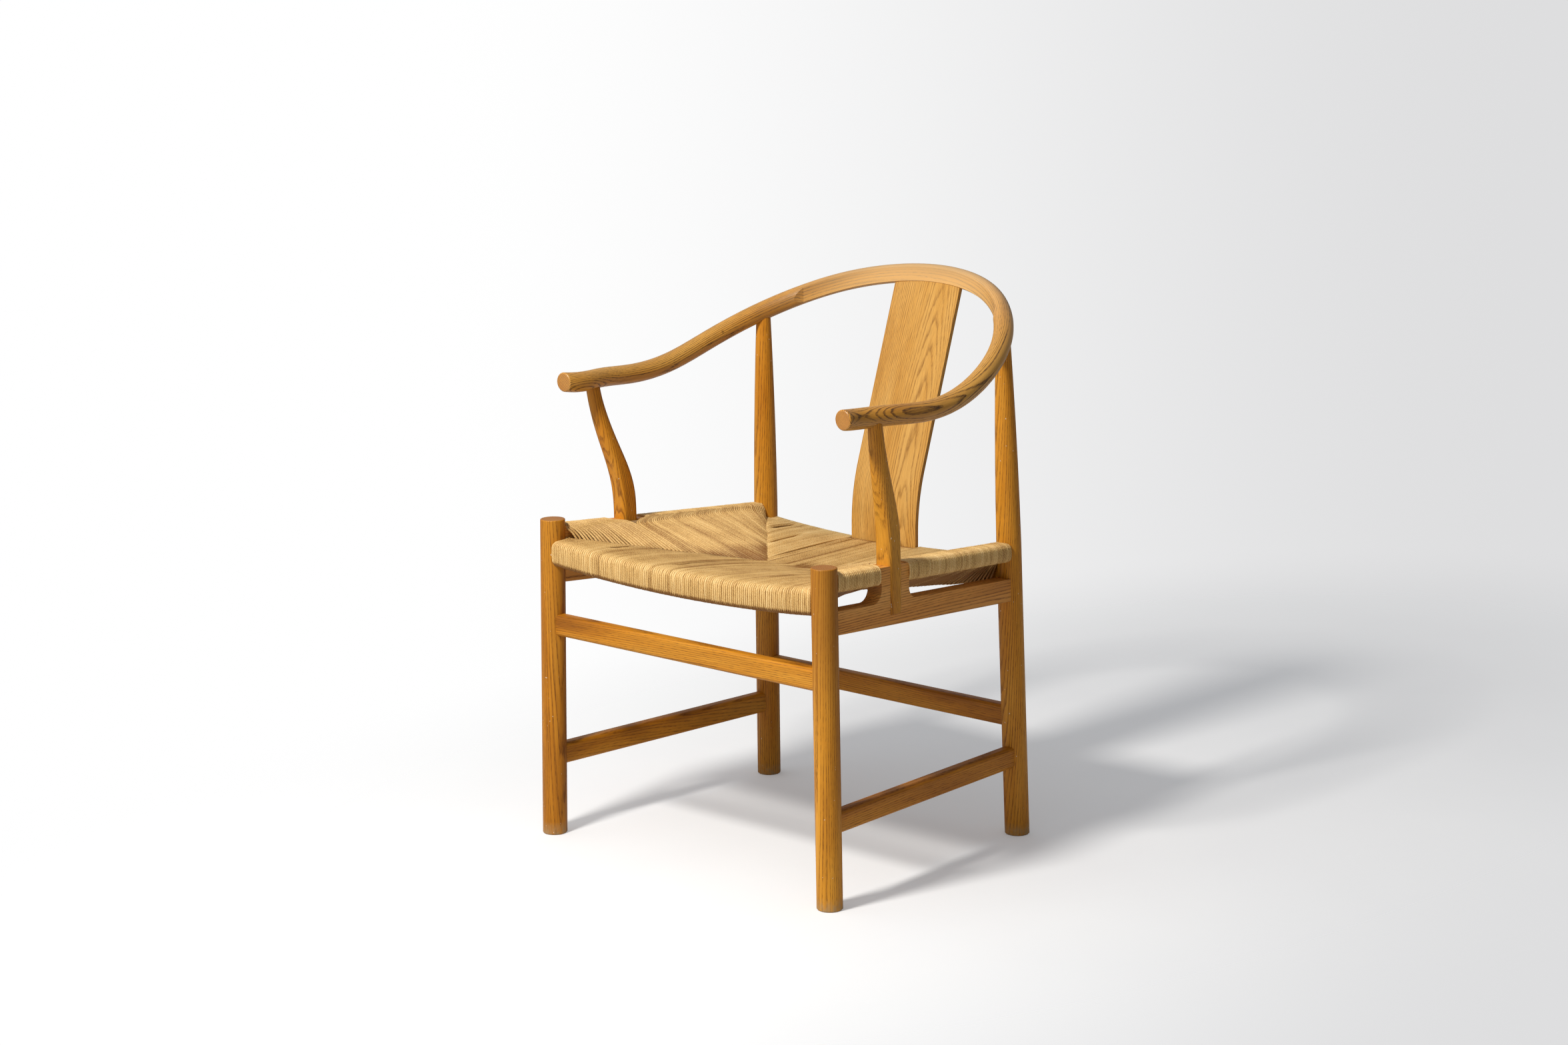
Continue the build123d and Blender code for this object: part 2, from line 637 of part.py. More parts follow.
def splat_head(grow=0.0):
    """Straight leaning part of the splat, let into the horseshoe rail."""
    foot_y, foot_z, lean, straight = splat_lines()
    bend = lean * SPLAT_BEND_RADIUS
    return loft([splat_section(bend, grow), splat_section(bend + straight + grow, grow)], ruled=True)


def back_splat():
    """Thin board, bent back above the seat and hollowed to follow the rail at its top."""
    foot_y, foot_z, lean, straight = splat_lines()
    bend = lean * SPLAT_BEND_RADIUS
    sections = [splat_section(bend * step / SPLAT_BEND_STEPS, 0) for step in range(SPLAT_BEND_STEPS + 1)]
    return splat_foot() + loft(sections) + splat_head()


# ------------------------------------------------------------------ woven seat
SIDE_HALF = SIDE_RAIL_THICKNESS / 2
RAIL_HALF = SEAT_RAIL_THICKNESS / 2
FRONT_CORNER_Y = RAIL_HALF + CORD_DIAMETER
REAR_CORNER_Y = REAR_RAIL_Y - RAIL_HALF - CORD_DIAMETER
FRONT_CORNER_X = side_rail_x(FRONT_CORNER_Y) - SIDE_HALF - CORD_DIAMETER
REAR_CORNER_X = side_rail_x(REAR_CORNER_Y) - SIDE_HALF - CORD_DIAMETER
FRONT_CORNER = Vector(FRONT_CORNER_X, FRONT_CORNER_Y, FRONT_RAIL_TOP)
REAR_CORNER = Vector(REAR_CORNER_X, REAR_CORNER_Y, REAR_RAIL_TOP)
APEX = Vector(WEAVE_BRIDGE / 2, WEAVE_CENTRE_Y, WEAVE_CENTRE_TOP)
CORD_LEGS = leg_bars(CORD_GAP)


def seam_share(corner, y):
    """Share of the way from a corner of the seat to the end of its seam, at a depth."""
    return (y - corner.Y) / (APEX.Y - corner.Y)


def seam_depth(share):
    """Thickness of the seat on the seam, from the whole rail down to the middle's."""
    return SEAT_RAIL_HEIGHT + (WEAVE_THICKNESS - SEAT_RAIL_HEIGHT) * share


def cross_stations(corner, rail_y, half_span, inward, shares, to_legs):
    """Sections of the panel over the front or rear rail: plane, wrap, seam end and heights."""
    left = [Vector(0, APEX.Y, APEX.Z)]
    left += [corner + (APEX - corner) * share for share in shares]
    depths = [seam_depth(1)] + [seam_depth(share) for share in shares]
    if to_legs:
        left.append(Vector(half_span, corner.Y, corner.Z))
        depths.append(seam_depth(0))
    right = [Vector(-point.X, point.Y, point.Z) for point in left[:0:-1]]
    points = right + left
    depths = depths[:0:-1] + depths
    stations = []
    for point, depth in zip(points, depths):
        top = corner.Z - seat_rail_sag(point.X, half_span)
        wrap = (rail_y, inward * RAIL_HALF, top, SEAT_RAIL_HEIGHT)
        plane = Plane(origin=(point.X, 0, 0), x_dir=(0, 1, 0), z_dir=(1, 0, 0))
        seam_top = min(point.Z, top)
        stations.append((plane, wrap, point.Y, seam_top, depth))
    return stations


def side_stations(start, finish):
    """Cross sections of the panel over the left side rail between two depths of the seat."""
    marks = [(FRONT_CORNER, start)]
    for share in (1 / 3, 2 / 3, 1):
        marks.append((FRONT_CORNER, FRONT_CORNER.Y + (APEX.Y - FRONT_CORNER.Y) * share))
    marks.append((REAR_CORNER, (REAR_CORNER.Y + APEX.Y) / 2))
    marks.append((REAR_CORNER, finish))
    stations = []
    for corner, y in marks:
        share = seam_share(corner, y)
        point = corner + (APEX - corner) * share
        wrap = (side_rail_x(y), -SIDE_HALF, side_rail_top(y), UPPER_BAR_HEIGHT)
        plane = Plane(origin=(0, y, 0), x_dir=(1, 0, 0), z_dir=(0, -1, 0))
        stations.append((plane, wrap, point.X, point.Z, seam_depth(share)))
    return stations


def woven_shell(stations):
    """Outer form of a panel: cords round a bar on one side, flat to the seam on the other."""
    sections = []
    for plane, (middle, reach, top, height), end, seam_top, depth in stations:
        cord = math.copysign(CORD_DIAMETER, reach)
        outer = middle - reach - cord
        inner = middle + reach
        tip = end - math.copysign(CORD_GAP / 2, reach)
        high = top + CORD_DIAMETER
        low = top - height - CORD_DIAMETER
        seam_high = seam_top + CORD_DIAMETER
        seam_low = seam_top - depth - CORD_DIAMETER
        outline = Polyline(
            (outer, low),
            (outer, high),
            (inner, high),
            (tip, seam_high),
            (tip, seam_low),
            (inner, low),
            close=True,
        )
        face = plane * make_face(outline)
        corners = [plane.from_local_coords(Vector(outer, rim)) for rim in (low, high)]
        rims = [face.vertices().sort_by_distance(corner)[0] for corner in corners]
        sections.append(fillet(rims, WEAVE_EDGE_ROUNDING))
    return loft(sections, ruled=True)


def woven_core(stations, margin, clearance):
    """Space between the upper and the lower cords of a panel, or the stuffing that fills it."""
    sections = []
    for plane, (middle, reach, top, height), end, seam_top, depth in stations:
        tip = end - math.copysign(CORD_GAP / 2 + clearance, reach)
        inner = middle + reach + math.copysign(margin, reach)
        share = (inner - middle - reach) / (tip - middle - reach)
        high = top + (seam_top - top) * share
        low = top - height + (seam_top - depth - top + height) * share
        outline = Polyline(
            (inner, high - clearance),
            (tip, seam_top - clearance),
            (tip, seam_top - depth + clearance),
            (inner, low + clearance),
            close=True,
        )
        sections.append(plane * make_face(outline))
    return loft(sections, ruled=True)


SHELL_SHARES = (1, 2 / 3, 1 / 3, 0)
CORE_SHARES = (1, 2 / 3, 1 / 3, 0.15)
FRONT_PANEL = (FRONT_CORNER, 0, side_rail_x(0), 1)
REAR_PANEL = (REAR_CORNER, REAR_RAIL_Y, side_rail_x(REAR_RAIL_Y), -1)
CORE_START = FRONT_CORNER_Y + (APEX.Y - FRONT_CORNER_Y) * CORE_SHARES[-1]
CORE_FINISH = REAR_CORNER_Y + (APEX.Y - REAR_CORNER_Y) * CORE_SHARES[-1]


def cross_weave(panel, legs):
    """Panel of cords over the front or the rear rail, with its sleeve out to both legs."""
    corner, rail_y, half_span, _ = panel
    weave = woven_shell(cross_stations(*panel, SHELL_SHARES, True))
    weave -= seat_rail_bar(half_span, rail_y, corner.Z, ThreePointArc, grow=CORD_GAP)
    weave -= woven_core(cross_stations(*panel, CORE_SHARES, False), 0, 0)
    wood = SIDE_RAIL_THICKNESS + 2 * CORD_GAP
    plank = side_slab(SIDE_FRONT.Y, SIDE_REAR.Y, -SIDE_RAIL_HEIGHT, 2 * SIDE_RAIL_HEIGHT, wood)
    for cut in [plank, mirrored(plank)] + [CORD_LEGS[leg] for leg in legs]:
        weave -= cut
    return weave


def weave_front():
    return cross_weave(FRONT_PANEL, (FRONT_LEFT, FRONT_RIGHT))


def weave_rear():
    """Cords over the rear rail on both sides of the splat, and in front of its foot."""
    foot_y, foot_z, lean, straight = splat_lines()
    front = foot_y - SPLAT_THICKNESS / 2 - CORD_GAP
    notch = Box(
        SPLAT_WIDTH + 2 * CORD_GAP,
        2 * SEAT_RAIL_THICKNESS,
        4 * SEAT_RAIL_HEIGHT,
        align=(Align.CENTER, Align.MIN, Align.CENTER),
    )
    return cross_weave(REAR_PANEL, (REAR_LEFT, REAR_RIGHT)) - Pos(0, front, foot_z) * notch


def weave_side():
    """Cords over the left side rail, in front of and behind its centre block."""
    finish = SIDE_REAR.Y - LEG_RADIUS - CORD_DIAMETER
    weave = woven_shell(side_stations(WEAVE_START, finish))
    wood = SIDE_RAIL_THICKNESS + 2 * CORD_GAP
    weave -= side_slab(SIDE_FRONT.Y, SIDE_REAR.Y, -CORD_GAP, UPPER_BAR_HEIGHT + CORD_GAP, wood)
    foot = SUPPORT_BASE + 2 * CORD_GAP
    block_front = BLOCK_FRONT - CORD_GAP
    block_rear = BLOCK_REAR + CORD_GAP
    block = side_slab(block_front, block_rear, -SIDE_RAIL_HEIGHT, SIDE_RAIL_HEIGHT, foot)
    weave -= block
    weave -= Pos(SIDE_HALF, 0, 0) * block
    weave -= woven_core(side_stations(CORE_START, CORE_FINISH), 0, 0)
    for leg in (FRONT_LEFT, REAR_LEFT):
        weave -= CORD_LEGS[leg]
    return weave


def seat_stuffing():
    """Folded card between the upper and the lower cords, one piece for each panel."""
    side = woven_core(side_stations(CORE_START, CORE_FINISH), STUFFING_MARGIN, STUFFING_CLEARANCE)
    front = woven_core(cross_stations(*FRONT_PANEL, CORE_SHARES, False), STUFFING_MARGIN, STUFFING_CLEARANCE)
    rear = woven_core(cross_stations(*REAR_PANEL, CORE_SHARES, False), STUFFING_MARGIN, STUFFING_CLEARANCE)
    return Compound([front, rear, side, mirrored(side)])


# ------------------------------------------------------------------ cord tacks
TACK_PLACES = (BLOCK_FRONT - LEG_RADIUS, BLOCK_REAR + LEG_RADIUS)


def tack(y, grow=0.0):
    """Flat headed tack in the inner face of the left side rail's upper bar."""
    inward = (Align.CENTER, Align.CENTER, Align.MIN)
    outward = (Align.CENTER, Align.CENTER, Align.MAX)
    shank = Cylinder(TACK_DIAMETER / 2 + grow, TACK_LENGTH + grow, align=inward)
    head = Cylinder(TACK_HEAD_DIAMETER / 2, TACK_HEAD_THICKNESS, align=outward)
    turn = math.radians(SIDE_TURN)
    inside = Vector(side_rail_x(y), y, side_rail_top(y) - UPPER_BAR_HEIGHT / 2)
    inside -= Vector(math.cos(turn), math.sin(turn), 0) * (SIDE_HALF + GLUE_GAP - grow)
    return Plane(origin=inside, z_dir=(math.cos(turn), math.sin(turn), 0)) * (shank + head)


def cord_tacks():
    left = [tack(place) for place in TACK_PLACES]
    return Compound(left + [mirrored(one) for one in left])


# ------------------------------------------------------------------ output
def export(name, solid):
    export_step(solid, os.path.join(OUT, name + ".step"))


def build_all():
    left = {
        "front_leg": front_leg(),
        "rear_post": rear_post(),
        "arm_support": arm_support(),
        "side_seat_rail": side_seat_rail(),
        "side_stretcher": side_stretcher(),
    }
    pieces = {}
    for name, solid in left.items():
        pieces[name + "_left"] = solid
        pieces[name + "_right"] = mirrored(solid)
    pieces["horseshoe_rail"] = horseshoe_rail()
    pieces["back_splat"] = back_splat()
    pieces["front_seat_rail"] = front_seat_rail()
    pieces["rear_seat_rail"] = rear_seat_rail()
    pieces["front_stretcher"] = front_stretcher()
    pieces["rear_stretcher"] = rear_stretcher()
    pieces["weave_front"] = weave_front()
    pieces["weave_rear"] = weave_rear()
    pieces["weave_left"] = weave_side()
    pieces["weave_right"] = mirrored(pieces["weave_left"])
    pieces["seat_stuffing"] = seat_stuffing()
    pieces["cord_tacks"] = cord_tacks()
    dowel = support_dowel()
    pieces["arm_support_dowels"] = Compound([dowel, mirrored(dowel)])
    return pieces


def centred(pieces):
    """The pieces with the origin below the middle of the chair's outline, on the floor."""
    middle = Compound(list(pieces.values())).bounding_box().center().Y
    return {name: Pos(0, -middle, 0) * solid for name, solid in pieces.items()}


os.makedirs(OUT, exist_ok=True)
for piece_name, piece in centred(build_all()).items():
    export(piece_name, piece)
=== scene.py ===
"""Horseshoe back armchair: ash frame with a woven paper cord seat.

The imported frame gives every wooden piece.  This script gives them their wood,
and weaves the seat from real cords.  Lengths are in metres, X runs across the
chair, Y from front to back and Z up.
"""
import math

import bmesh
import bpy
import numpy as np
from mathutils import Matrix, Vector


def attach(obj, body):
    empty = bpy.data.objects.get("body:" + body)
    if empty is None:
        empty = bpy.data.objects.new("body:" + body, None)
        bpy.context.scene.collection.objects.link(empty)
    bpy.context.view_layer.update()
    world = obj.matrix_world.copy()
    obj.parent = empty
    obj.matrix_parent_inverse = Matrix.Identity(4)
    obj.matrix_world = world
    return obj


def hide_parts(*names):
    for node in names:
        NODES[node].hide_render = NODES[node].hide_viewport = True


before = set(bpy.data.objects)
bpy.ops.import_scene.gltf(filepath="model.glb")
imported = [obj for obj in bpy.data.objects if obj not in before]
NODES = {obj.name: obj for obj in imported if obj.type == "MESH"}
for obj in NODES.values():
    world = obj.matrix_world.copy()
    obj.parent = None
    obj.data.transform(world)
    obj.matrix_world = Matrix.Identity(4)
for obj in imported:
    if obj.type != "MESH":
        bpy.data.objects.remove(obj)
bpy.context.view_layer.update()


# ---------------------------------------------------------------- front legs
# Two straight round legs turned from ash, a coarse, ring-porous wood.  Each is one
# length with mortises for the seat rails and the stretchers, sanded and oiled, and
# its ends are sawn across, so they show the open pores as a darker disc.
MM = 0.001


def linear(code):
    """Linear colour of an sRGB hex code."""
    channels = [int(code[i : i + 2], 16) / 255 for i in (1, 3, 5)]
    light = [c / 12.92 if c <= 0.04045 else ((c + 0.055) / 1.055) ** 2.4 for c in channels]
    return (*light, 1.0)


def add(tree, kind, links=(), values=(), **settings):
    """New node with its settings, links and values.

    A link is (own input, other node, its output), and a value is (own input, value).
    """
    node = tree.nodes.new("ShaderNode" + kind)
    for key, setting in settings.items():
        setattr(node, key, setting)
    for own, other, output in links:
        tree.links.new(other.outputs[output], node.inputs[own])
    for own, value in values:
        node.inputs[own].default_value = value
    return node


def new_material(name):
    """Empty material with its node tree."""
    material = bpy.data.materials.new(name)
    material.use_nodes = True
    material.node_tree.nodes.clear()
    return material, material.node_tree


def figure(tree, source, repeats, detail, output=0):
    """Uneven pattern that repeats so many times in a metre along each axis."""
    stretched = add(tree, "Mapping", [(0, source, output)], [("Scale", repeats)])
    return add(tree, "TexNoise", [(0, stretched, 0)], [("Scale", 1.0), ("Detail", detail)])


# turns that stand a piece's length upright, in degrees
GRAIN_UP = (0.0, 0.0, 0.0)
GRAIN_ACROSS = (0.0, -90.0, 0.0)
GRAIN_BACK = (90.0, 0.0, 0.0)

# Oiled ash: honey to amber late wood between bands of open early wood pores.  The eye
# sees dark brown dashes along the grain, arches where the rings are cut flat, darker end
# grain and a soft sheen.  Real pores are 0.3 mm wide, drawn 0.5 mm so that they show.
# Each set holds the colours of the early wood, the late wood, pale streaks and pores.
AMBER = ("#7E4608", "#BC7716", "#D29634", "#442206")
GOLD = ("#8C520C", "#CE8A22", "#E2A640", "#4A2A08")
PORE_WIDTH = 0.5 * MM
PORE_LENGTH = 4.5 * MM
# how deep a pore is, against the height of a fibre
PORE_DEPTH = 1.6

# how often a pattern repeats in a metre, across the trunk both ways and along it
WANDER = (11, 11, 2.2)
YEARS = (95, 95, 2.5)
TONE = (24, 24, 2.6)
FIBRE = (1100, 1100, 26)
FADING = (70, 70, 7)
SCUFFS = (160, 160, 120)
NICKS = (330, 330, 260)

# inputs of a map range: its low and its high value, and what each becomes
RANGE = ("From Min", "From Max", "To Min", "To Max")
SMOOTH = {"interpolation_type": "SMOOTHSTEP"}

# uneven years, in ring widths, and where in a ring the early wood starts and ends
YEAR_CHANGE = 1.7
EARLY_START = (0.0, 0.12, 0.0, 1.0)
EARLY_END = (0.14, 0.55, 1.0, 0.0)

END_GRAIN = "#8C5E34"
WEAR = "#A58A62"
WEAR_HEIGHT = 20 * MM
NICK = "#E6D8BE"
HANDLED = (200 * MM, 400 * MM)
SPOT_EDGE = (1.2 * MM, 3.6 * MM, 0.85, 0.0)

# a bent piece: its tips and its pale middle, which is a painted sheen, by the length from the middle of
# the piece
TIP_GRAIN = "#9C6838"
BENT_TIPS = (0.5, 0.52, 0.0, 1.0)
BENT_SHEEN = "#EAC084"
BENT_SHEEN_REACH = (0.06, 0.32, 0.55, 0.0)


def ash(
    name, grain, pith, lean, shift, colours=AMBER, ring=2.9, warp=7.0, bands=0.6, pitting=0.5,
    field=None, worn=False, handled=0.0, bent=False, spots=(),
):
    """Oiled ash whose rings lie round a pith line beside the piece.

    The pith's place, the ring width and the warp are in millimetres, and the lean is in
    degrees.  Bands and pitting are the strength of the rings and of the pores.  A handled
    piece is darker near its top, by that share.  A bent piece has its length along the
    field's Z, is paler in its middle, a painted sheen, and shows sawn grain at its two
    tips only.  Spots are knots and marks, in millimetres.
    """
    dark, body, pale, pore = colours
    material, tree = new_material(name)
    place = add(tree, "TexCoord")
    source = (place, "Object") if field is None else (field(tree), 0)
    upright = [math.radians(angle) for angle in grain]
    board = add(tree, "Mapping", [(0, *source)], [("Rotation", upright)])
    middle = (pith[0] * MM, pith[1] * MM, shift)
    tilt = (math.radians(lean[0]), math.radians(lean[1]), 0)
    log = add(tree, "Mapping", [(0, board, 0)], [("Location", middle), ("Rotation", tilt)])

    # the rings wander slowly up the trunk, and good and poor years change their width
    wander = figure(tree, log, WANDER, 2.0)
    years = figure(tree, log, YEARS, 2.0)
    flat = add(tree, "VectorMath", [(0, log, 0)], [(1, (1, 1, 0))], operation="MULTIPLY")
    reach = add(tree, "VectorMath", [(0, flat, 0)], operation="LENGTH")
    wavy = add(
        tree, "Math", [(0, wander, "Fac"), (2, reach, "Value")],
        [(1, warp * MM)], operation="MULTIPLY_ADD",
    )
    uneven = add(
        tree, "Math", [(0, years, "Fac"), (2, wavy, 0)],
        [(1, YEAR_CHANGE * ring * MM)], operation="MULTIPLY_ADD",
    )
    count = add(tree, "Math", [(0, uneven, 0)], [(1, ring * MM)], operation="DIVIDE")
    year = add(tree, "Math", [(0, count, 0)], operation="FRACT")
    opening = add(tree, "MapRange", [(0, year, 0)], zip(RANGE, EARLY_START), **SMOOTH)
    closing = add(tree, "MapRange", [(0, year, 0)], zip(RANGE, EARLY_END), **SMOOTH)
    porous = add(tree, "Math", [(0, opening, 0), (1, closing, 0)], operation="MULTIPLY")

    # open pores, long along the grain, thick in the early wood and few in the late wood,
    # where a spot of the pattern is half a repeat wide
    pore_scale = (0.5 / PORE_WIDTH, 0.5 / PORE_WIDTH, 0.5 / PORE_LENGTH)
    pores = figure(tree, log, pore_scale, 1.0)
    holes = add(tree, "MapRange", [(0, pores, "Fac")], zip(RANGE, (0.48, 0.60, 0.03, 1.0)))
    dash = add(tree, "Math", [(0, porous, 0), (1, holes, 0)], operation="MULTIPLY")

    # broad changes of tone along the board, and fine fibres
    tone = figure(tree, log, TONE, 4.0)
    light = add(tree, "MapRange", [(0, tone, "Fac")], zip(RANGE, (0.42, 0.72, 0.0, 0.9)))
    deep = add(tree, "MapRange", [(0, tone, "Fac")], zip(RANGE, (0.46, 0.28, 0.0, 0.7)))
    fibre = figure(tree, log, FIBRE, 2.0)
    fading = figure(tree, log, FADING, 2.0)
    faint_range = (0.36, 0.64, 0.3 * bands, bands)
    faint = add(tree, "MapRange", [(0, fading, "Fac")], zip(RANGE, faint_range))
    band = add(tree, "Math", [(0, porous, 0), (1, faint, 0)], operation="MULTIPLY")
    pitted = add(tree, "Math", [(0, dash, 0)], [(1, pitting)], operation="MULTIPLY")

    # the colours of a mix node are its inputs 6 and 7 and its output 2
    mixed = [(6, linear(body)), (7, linear(pale))]
    paler = add(tree, "Mix", [(0, light, 0)], mixed, data_type="RGBA")
    deeper = add(tree, "Mix", [(0, deep, 0), (6, paler, 2)], [(7, linear(dark))], data_type="RGBA")
    ringed = add(tree, "Mix", [(0, band, 0), (6, deeper, 2)], [(7, linear(dark))], data_type="RGBA")
    fibres = add(tree, "MapRange", [(0, fibre, "Fac")], zip(RANGE, (0.3, 0.7, 0.86, 1.12)))
    streaked = add(tree, "VectorMath", [(0, ringed, 2), (3, fibres, 0)], operation="SCALE")
    colour = add(tree, "Mix", [(0, pitted, 0), (6, streaked, 0)], [(7, linear(pore))], data_type="RGBA")

    for spot in spots:
        knot = [part * MM for part in spot]
        gap = add(tree, "VectorMath", [(0, place, "Object")], [(1, knot)], operation="DISTANCE")
        stain = add(tree, "MapRange", [(0, gap, "Value")], zip(RANGE, SPOT_EDGE))
        colour = add(tree, "Mix", [(0, stain, 0), (6, colour, 2)], [(7, linear(pore))], data_type="RGBA")

    # sawn ends drink more oil, and only the tips of a bent piece are sawn across
    end_turn = [math.radians(angle) for angle in (GRAIN_BACK if bent else grain)]
    facing = add(
        tree, "Mapping", [(0, place, "Normal")], [("Rotation", end_turn)], vector_type="NORMAL"
    )
    axes = add(tree, "SeparateXYZ", [(0, facing, 0)])
    across = add(tree, "Math", [(0, axes, "Z")], operation="ABSOLUTE")
    sawn = add(tree, "MapRange", [(0, across, 0)], zip(RANGE, (0.88, 0.97, 0.0, 0.55)))
    if bent:
        lengths = add(tree, "SeparateXYZ", [(0, *source)])
        along = add(tree, "Math", [(0, lengths, "Z")], operation="ABSOLUTE")
        tips = add(tree, "MapRange", [(0, along, 0)], zip(RANGE, BENT_TIPS))
        sawn = add(tree, "Math", [(0, sawn, 0), (1, tips, 0)], operation="MULTIPLY")
        # the pale middle of a bent piece is a painted sheen
        painted_sheen = add(tree, "MapRange", [(0, along, 0)], zip(RANGE, BENT_SHEEN_REACH), **SMOOTH)
        colour = add(
            tree, "Mix", [(0, painted_sheen, 0), (6, colour, 2)], [(7, linear(BENT_SHEEN))],
            data_type="RGBA",
        )
    tip = TIP_GRAIN if bent else END_GRAIN
    colour = add(tree, "Mix", [(0, sawn, 0), (6, colour, 2)], [(7, linear(tip))], data_type="RGBA")

    # hands darken a leg's top, and feet are scuffed pale and nicked
    heights = add(tree, "SeparateXYZ", [(0, place, "Object")])
    if handled:
        touch_range = (*HANDLED, 0.0, handled)
        touched = add(tree, "MapRange", [(0, heights, "Z")], zip(RANGE, touch_range), **SMOOTH)
        colour = add(tree, "Mix", [(0, touched, 0), (6, colour, 2)], [(7, linear(dark))], data_type="RGBA")
    if worn:
        foot_range = (0.2 * WEAR_HEIGHT, WEAR_HEIGHT, 0.75, 0.0)
        foot = add(tree, "MapRange", [(0, heights, "Z")], zip(RANGE, foot_range))
        scuffing = figure(tree, log, SCUFFS, 4.0)
        scuffs = add(tree, "MapRange", [(0, scuffing, "Fac")], zip(RANGE, (0.35, 0.6, 0.2, 1.0)))
        scuffed = add(tree, "Math", [(0, foot, 0), (1, scuffs, 0)], operation="MULTIPLY")
        colour = add(tree, "Mix", [(0, scuffed, 0), (6, colour, 2)], [(7, linear(WEAR))], data_type="RGBA")
        nicking = figure(tree, log, NICKS, 0.0)
        nicks = add(tree, "MapRange", [(0, nicking, "Fac")], zip(RANGE, (0.84, 0.87, 0.0, 0.6)))
        colour = add(tree, "Mix", [(0, nicks, 0), (6, colour, 2)], [(7, linear(NICK))], data_type="RGBA")

    # the pores are pits, and dull, and a bent piece is smoother from the hand
    depth = add(
        tree, "Math", [(0, dash, 0), (2, fibre, "Fac")], [(1, -PORE_DEPTH)], operation="MULTIPLY_ADD"
    )
    relief = add(
        tree, "Bump", [("Height", depth, 0)], [("Strength", 0.35), ("Distance", 0.12 * MM)]
    )
    gloss_range = (0.0, 1.0, 0.34 if bent else 0.42, 0.6)
    gloss = add(tree, "MapRange", [(0, dash, 0)], zip(RANGE, gloss_range))
    finish = [("Base Color", colour, 2), ("Roughness", gloss, 0), ("Normal", relief, 0)]
    surface = add(tree, "BsdfPrincipled", finish, [("Specular IOR Level", 0.5 if bent else 0.24)])
    add(tree, "OutputMaterial", [("Surface", surface, 0)])
    return material


def finish_node(node, material):
    """Gives a frame piece its material in every slot."""
    for slot in NODES[node].material_slots:
        slot.material = material


finish_node(
    "front_leg_left",
    ash(
        "oiled_ash_front_leg_left", GRAIN_UP, (-290, 240), (0.6, -0.5), 0.3, GOLD,
        worn=True, handled=0.7,
    ),
)
finish_node(
    "front_leg_right",
    ash(
        "oiled_ash_front_leg_right", GRAIN_UP, (330, 262), (-0.5, 0.7), 1.1,
        worn=True, handled=0.15,
    ),
)


# ---------------------------------------------------------------- rear posts
# Two ash posts that are round up to the seat and then taper with a slight belly to the
# round tenons under the horseshoe rail.  Turned, raked to fit the rail, glued.
POST_LOGS = {
    "rear_post_left": ((-266, -195), (2.0, -0.9), 2.3),
    "rear_post_right": ((200, -190), (2.2, 0.8), 3.1),
}
for node, log in POST_LOGS.items():
    finish_node(node, ash("oiled_ash_" + node, GRAIN_UP, *log, worn=True))


# ---------------------------------------------------------------- stretchers
# Four flat ash boards with rounded edges, each at its own height.  Planed, rounded over,
# and tenoned into the legs.
STRETCHER_LOGS = {
    "front_stretcher": (GRAIN_ACROSS, (-250, 290), (0.7, 1.4), 4.2),
    "rear_stretcher": (GRAIN_ACROSS, (-150, -200), (1.2, -0.8), 5.4),
    "side_stretcher_left": (GRAIN_BACK, (-240, 60), (1.1, 0.5), 6.1),
    "side_stretcher_right": (GRAIN_BACK, (300, 80), (-0.9, 1.0), 7.7),
}
for node, log in STRETCHER_LOGS.items():
    finish_node(node, ash("oiled_ash_" + node, *log))


# ---------------------------------------------------------------- seat rails
# Two curved bars at the front and the back, hidden in the cords, and two wide boards at
# the sides.  The side boards have long slots for the cords and are tenoned into the legs.
BAR_LOGS = {
    "front_seat_rail": ((-380, 290), (0.9, 0.4), 8.3),
    "rear_seat_rail": ((-360, -120), (0.4, 0.7), 9.9),
}
for node, log in BAR_LOGS.items():
    finish_node(node, ash("oiled_ash_" + node, GRAIN_ACROSS, *log))

TAN = ("#885020", "#D08A3A", "#DC9E52", "#50300F")
WIDE_BOARD = {"colours": TAN, "ring": 3.4, "warp": 9.0, "bands": 0.7}
NAIL_MARK = ((267, -191, 405), (267, -190, 401))
finish_node(
    "side_seat_rail_left",
    ash(
        "oiled_ash_side_rail_left", GRAIN_BACK, (-276, 350), (1.0, 2.2), 10.6,
        spots=NAIL_MARK, **WIDE_BOARD,
    ),
)
finish_node(
    "side_seat_rail_right",
    ash("oiled_ash_side_rail_right", GRAIN_BACK, (290, 360), (1.2, -2.0), 11.2, **WIDE_BOARD),
)


# ---------------------------------------------------------------- arm supports
# Two sculpted supports, square at the foot and round under the arm, sawn from ash and
# shaped by hand.  A lap in the side rail and a dowel hold the foot, and glue the rest.
SUPPORT_LOGS = {
    "arm_support_left": ((-275, 140), (-8.0, 1.5), 12.4),
    "arm_support_right": ((262, 150), (-8.5, -1.2), 13.7),
}
for node, log in SUPPORT_LOGS.items():
    finish_node(node, ash("oiled_ash_" + node, GRAIN_UP, *log, worn=True))
finish_node("arm_support_dowels", ash("beech_dowels", GRAIN_UP, (40, 30), (0.5, 0.5), 14.0))


# ---------------------------------------------------------------- horseshoe rail
# One round rail that forms the back and both arms, made of ash lengths joined end to end
# and shaped by hand.  Its inner back is dressed flat.  The grain follows the bend.
UMBER = ("#5A330C", "#B87C28", "#D09C48", "#281506")
RAIL_CENTRE = -2.6 * MM
RAIL_RADIUS = 277 * MM
RAIL_REACH = 0.86
# heights of the rail's middle line in millimetres, by the share of its reach
RAIL_HEIGHTS = (
    (0.0, 794), (0.102, 788), (0.204, 769), (0.306, 738),
    (0.408, 702), (0.5, 672), (0.6, 660), (1.0, 664),
)
KNOT = ((-252, 80, 706),)


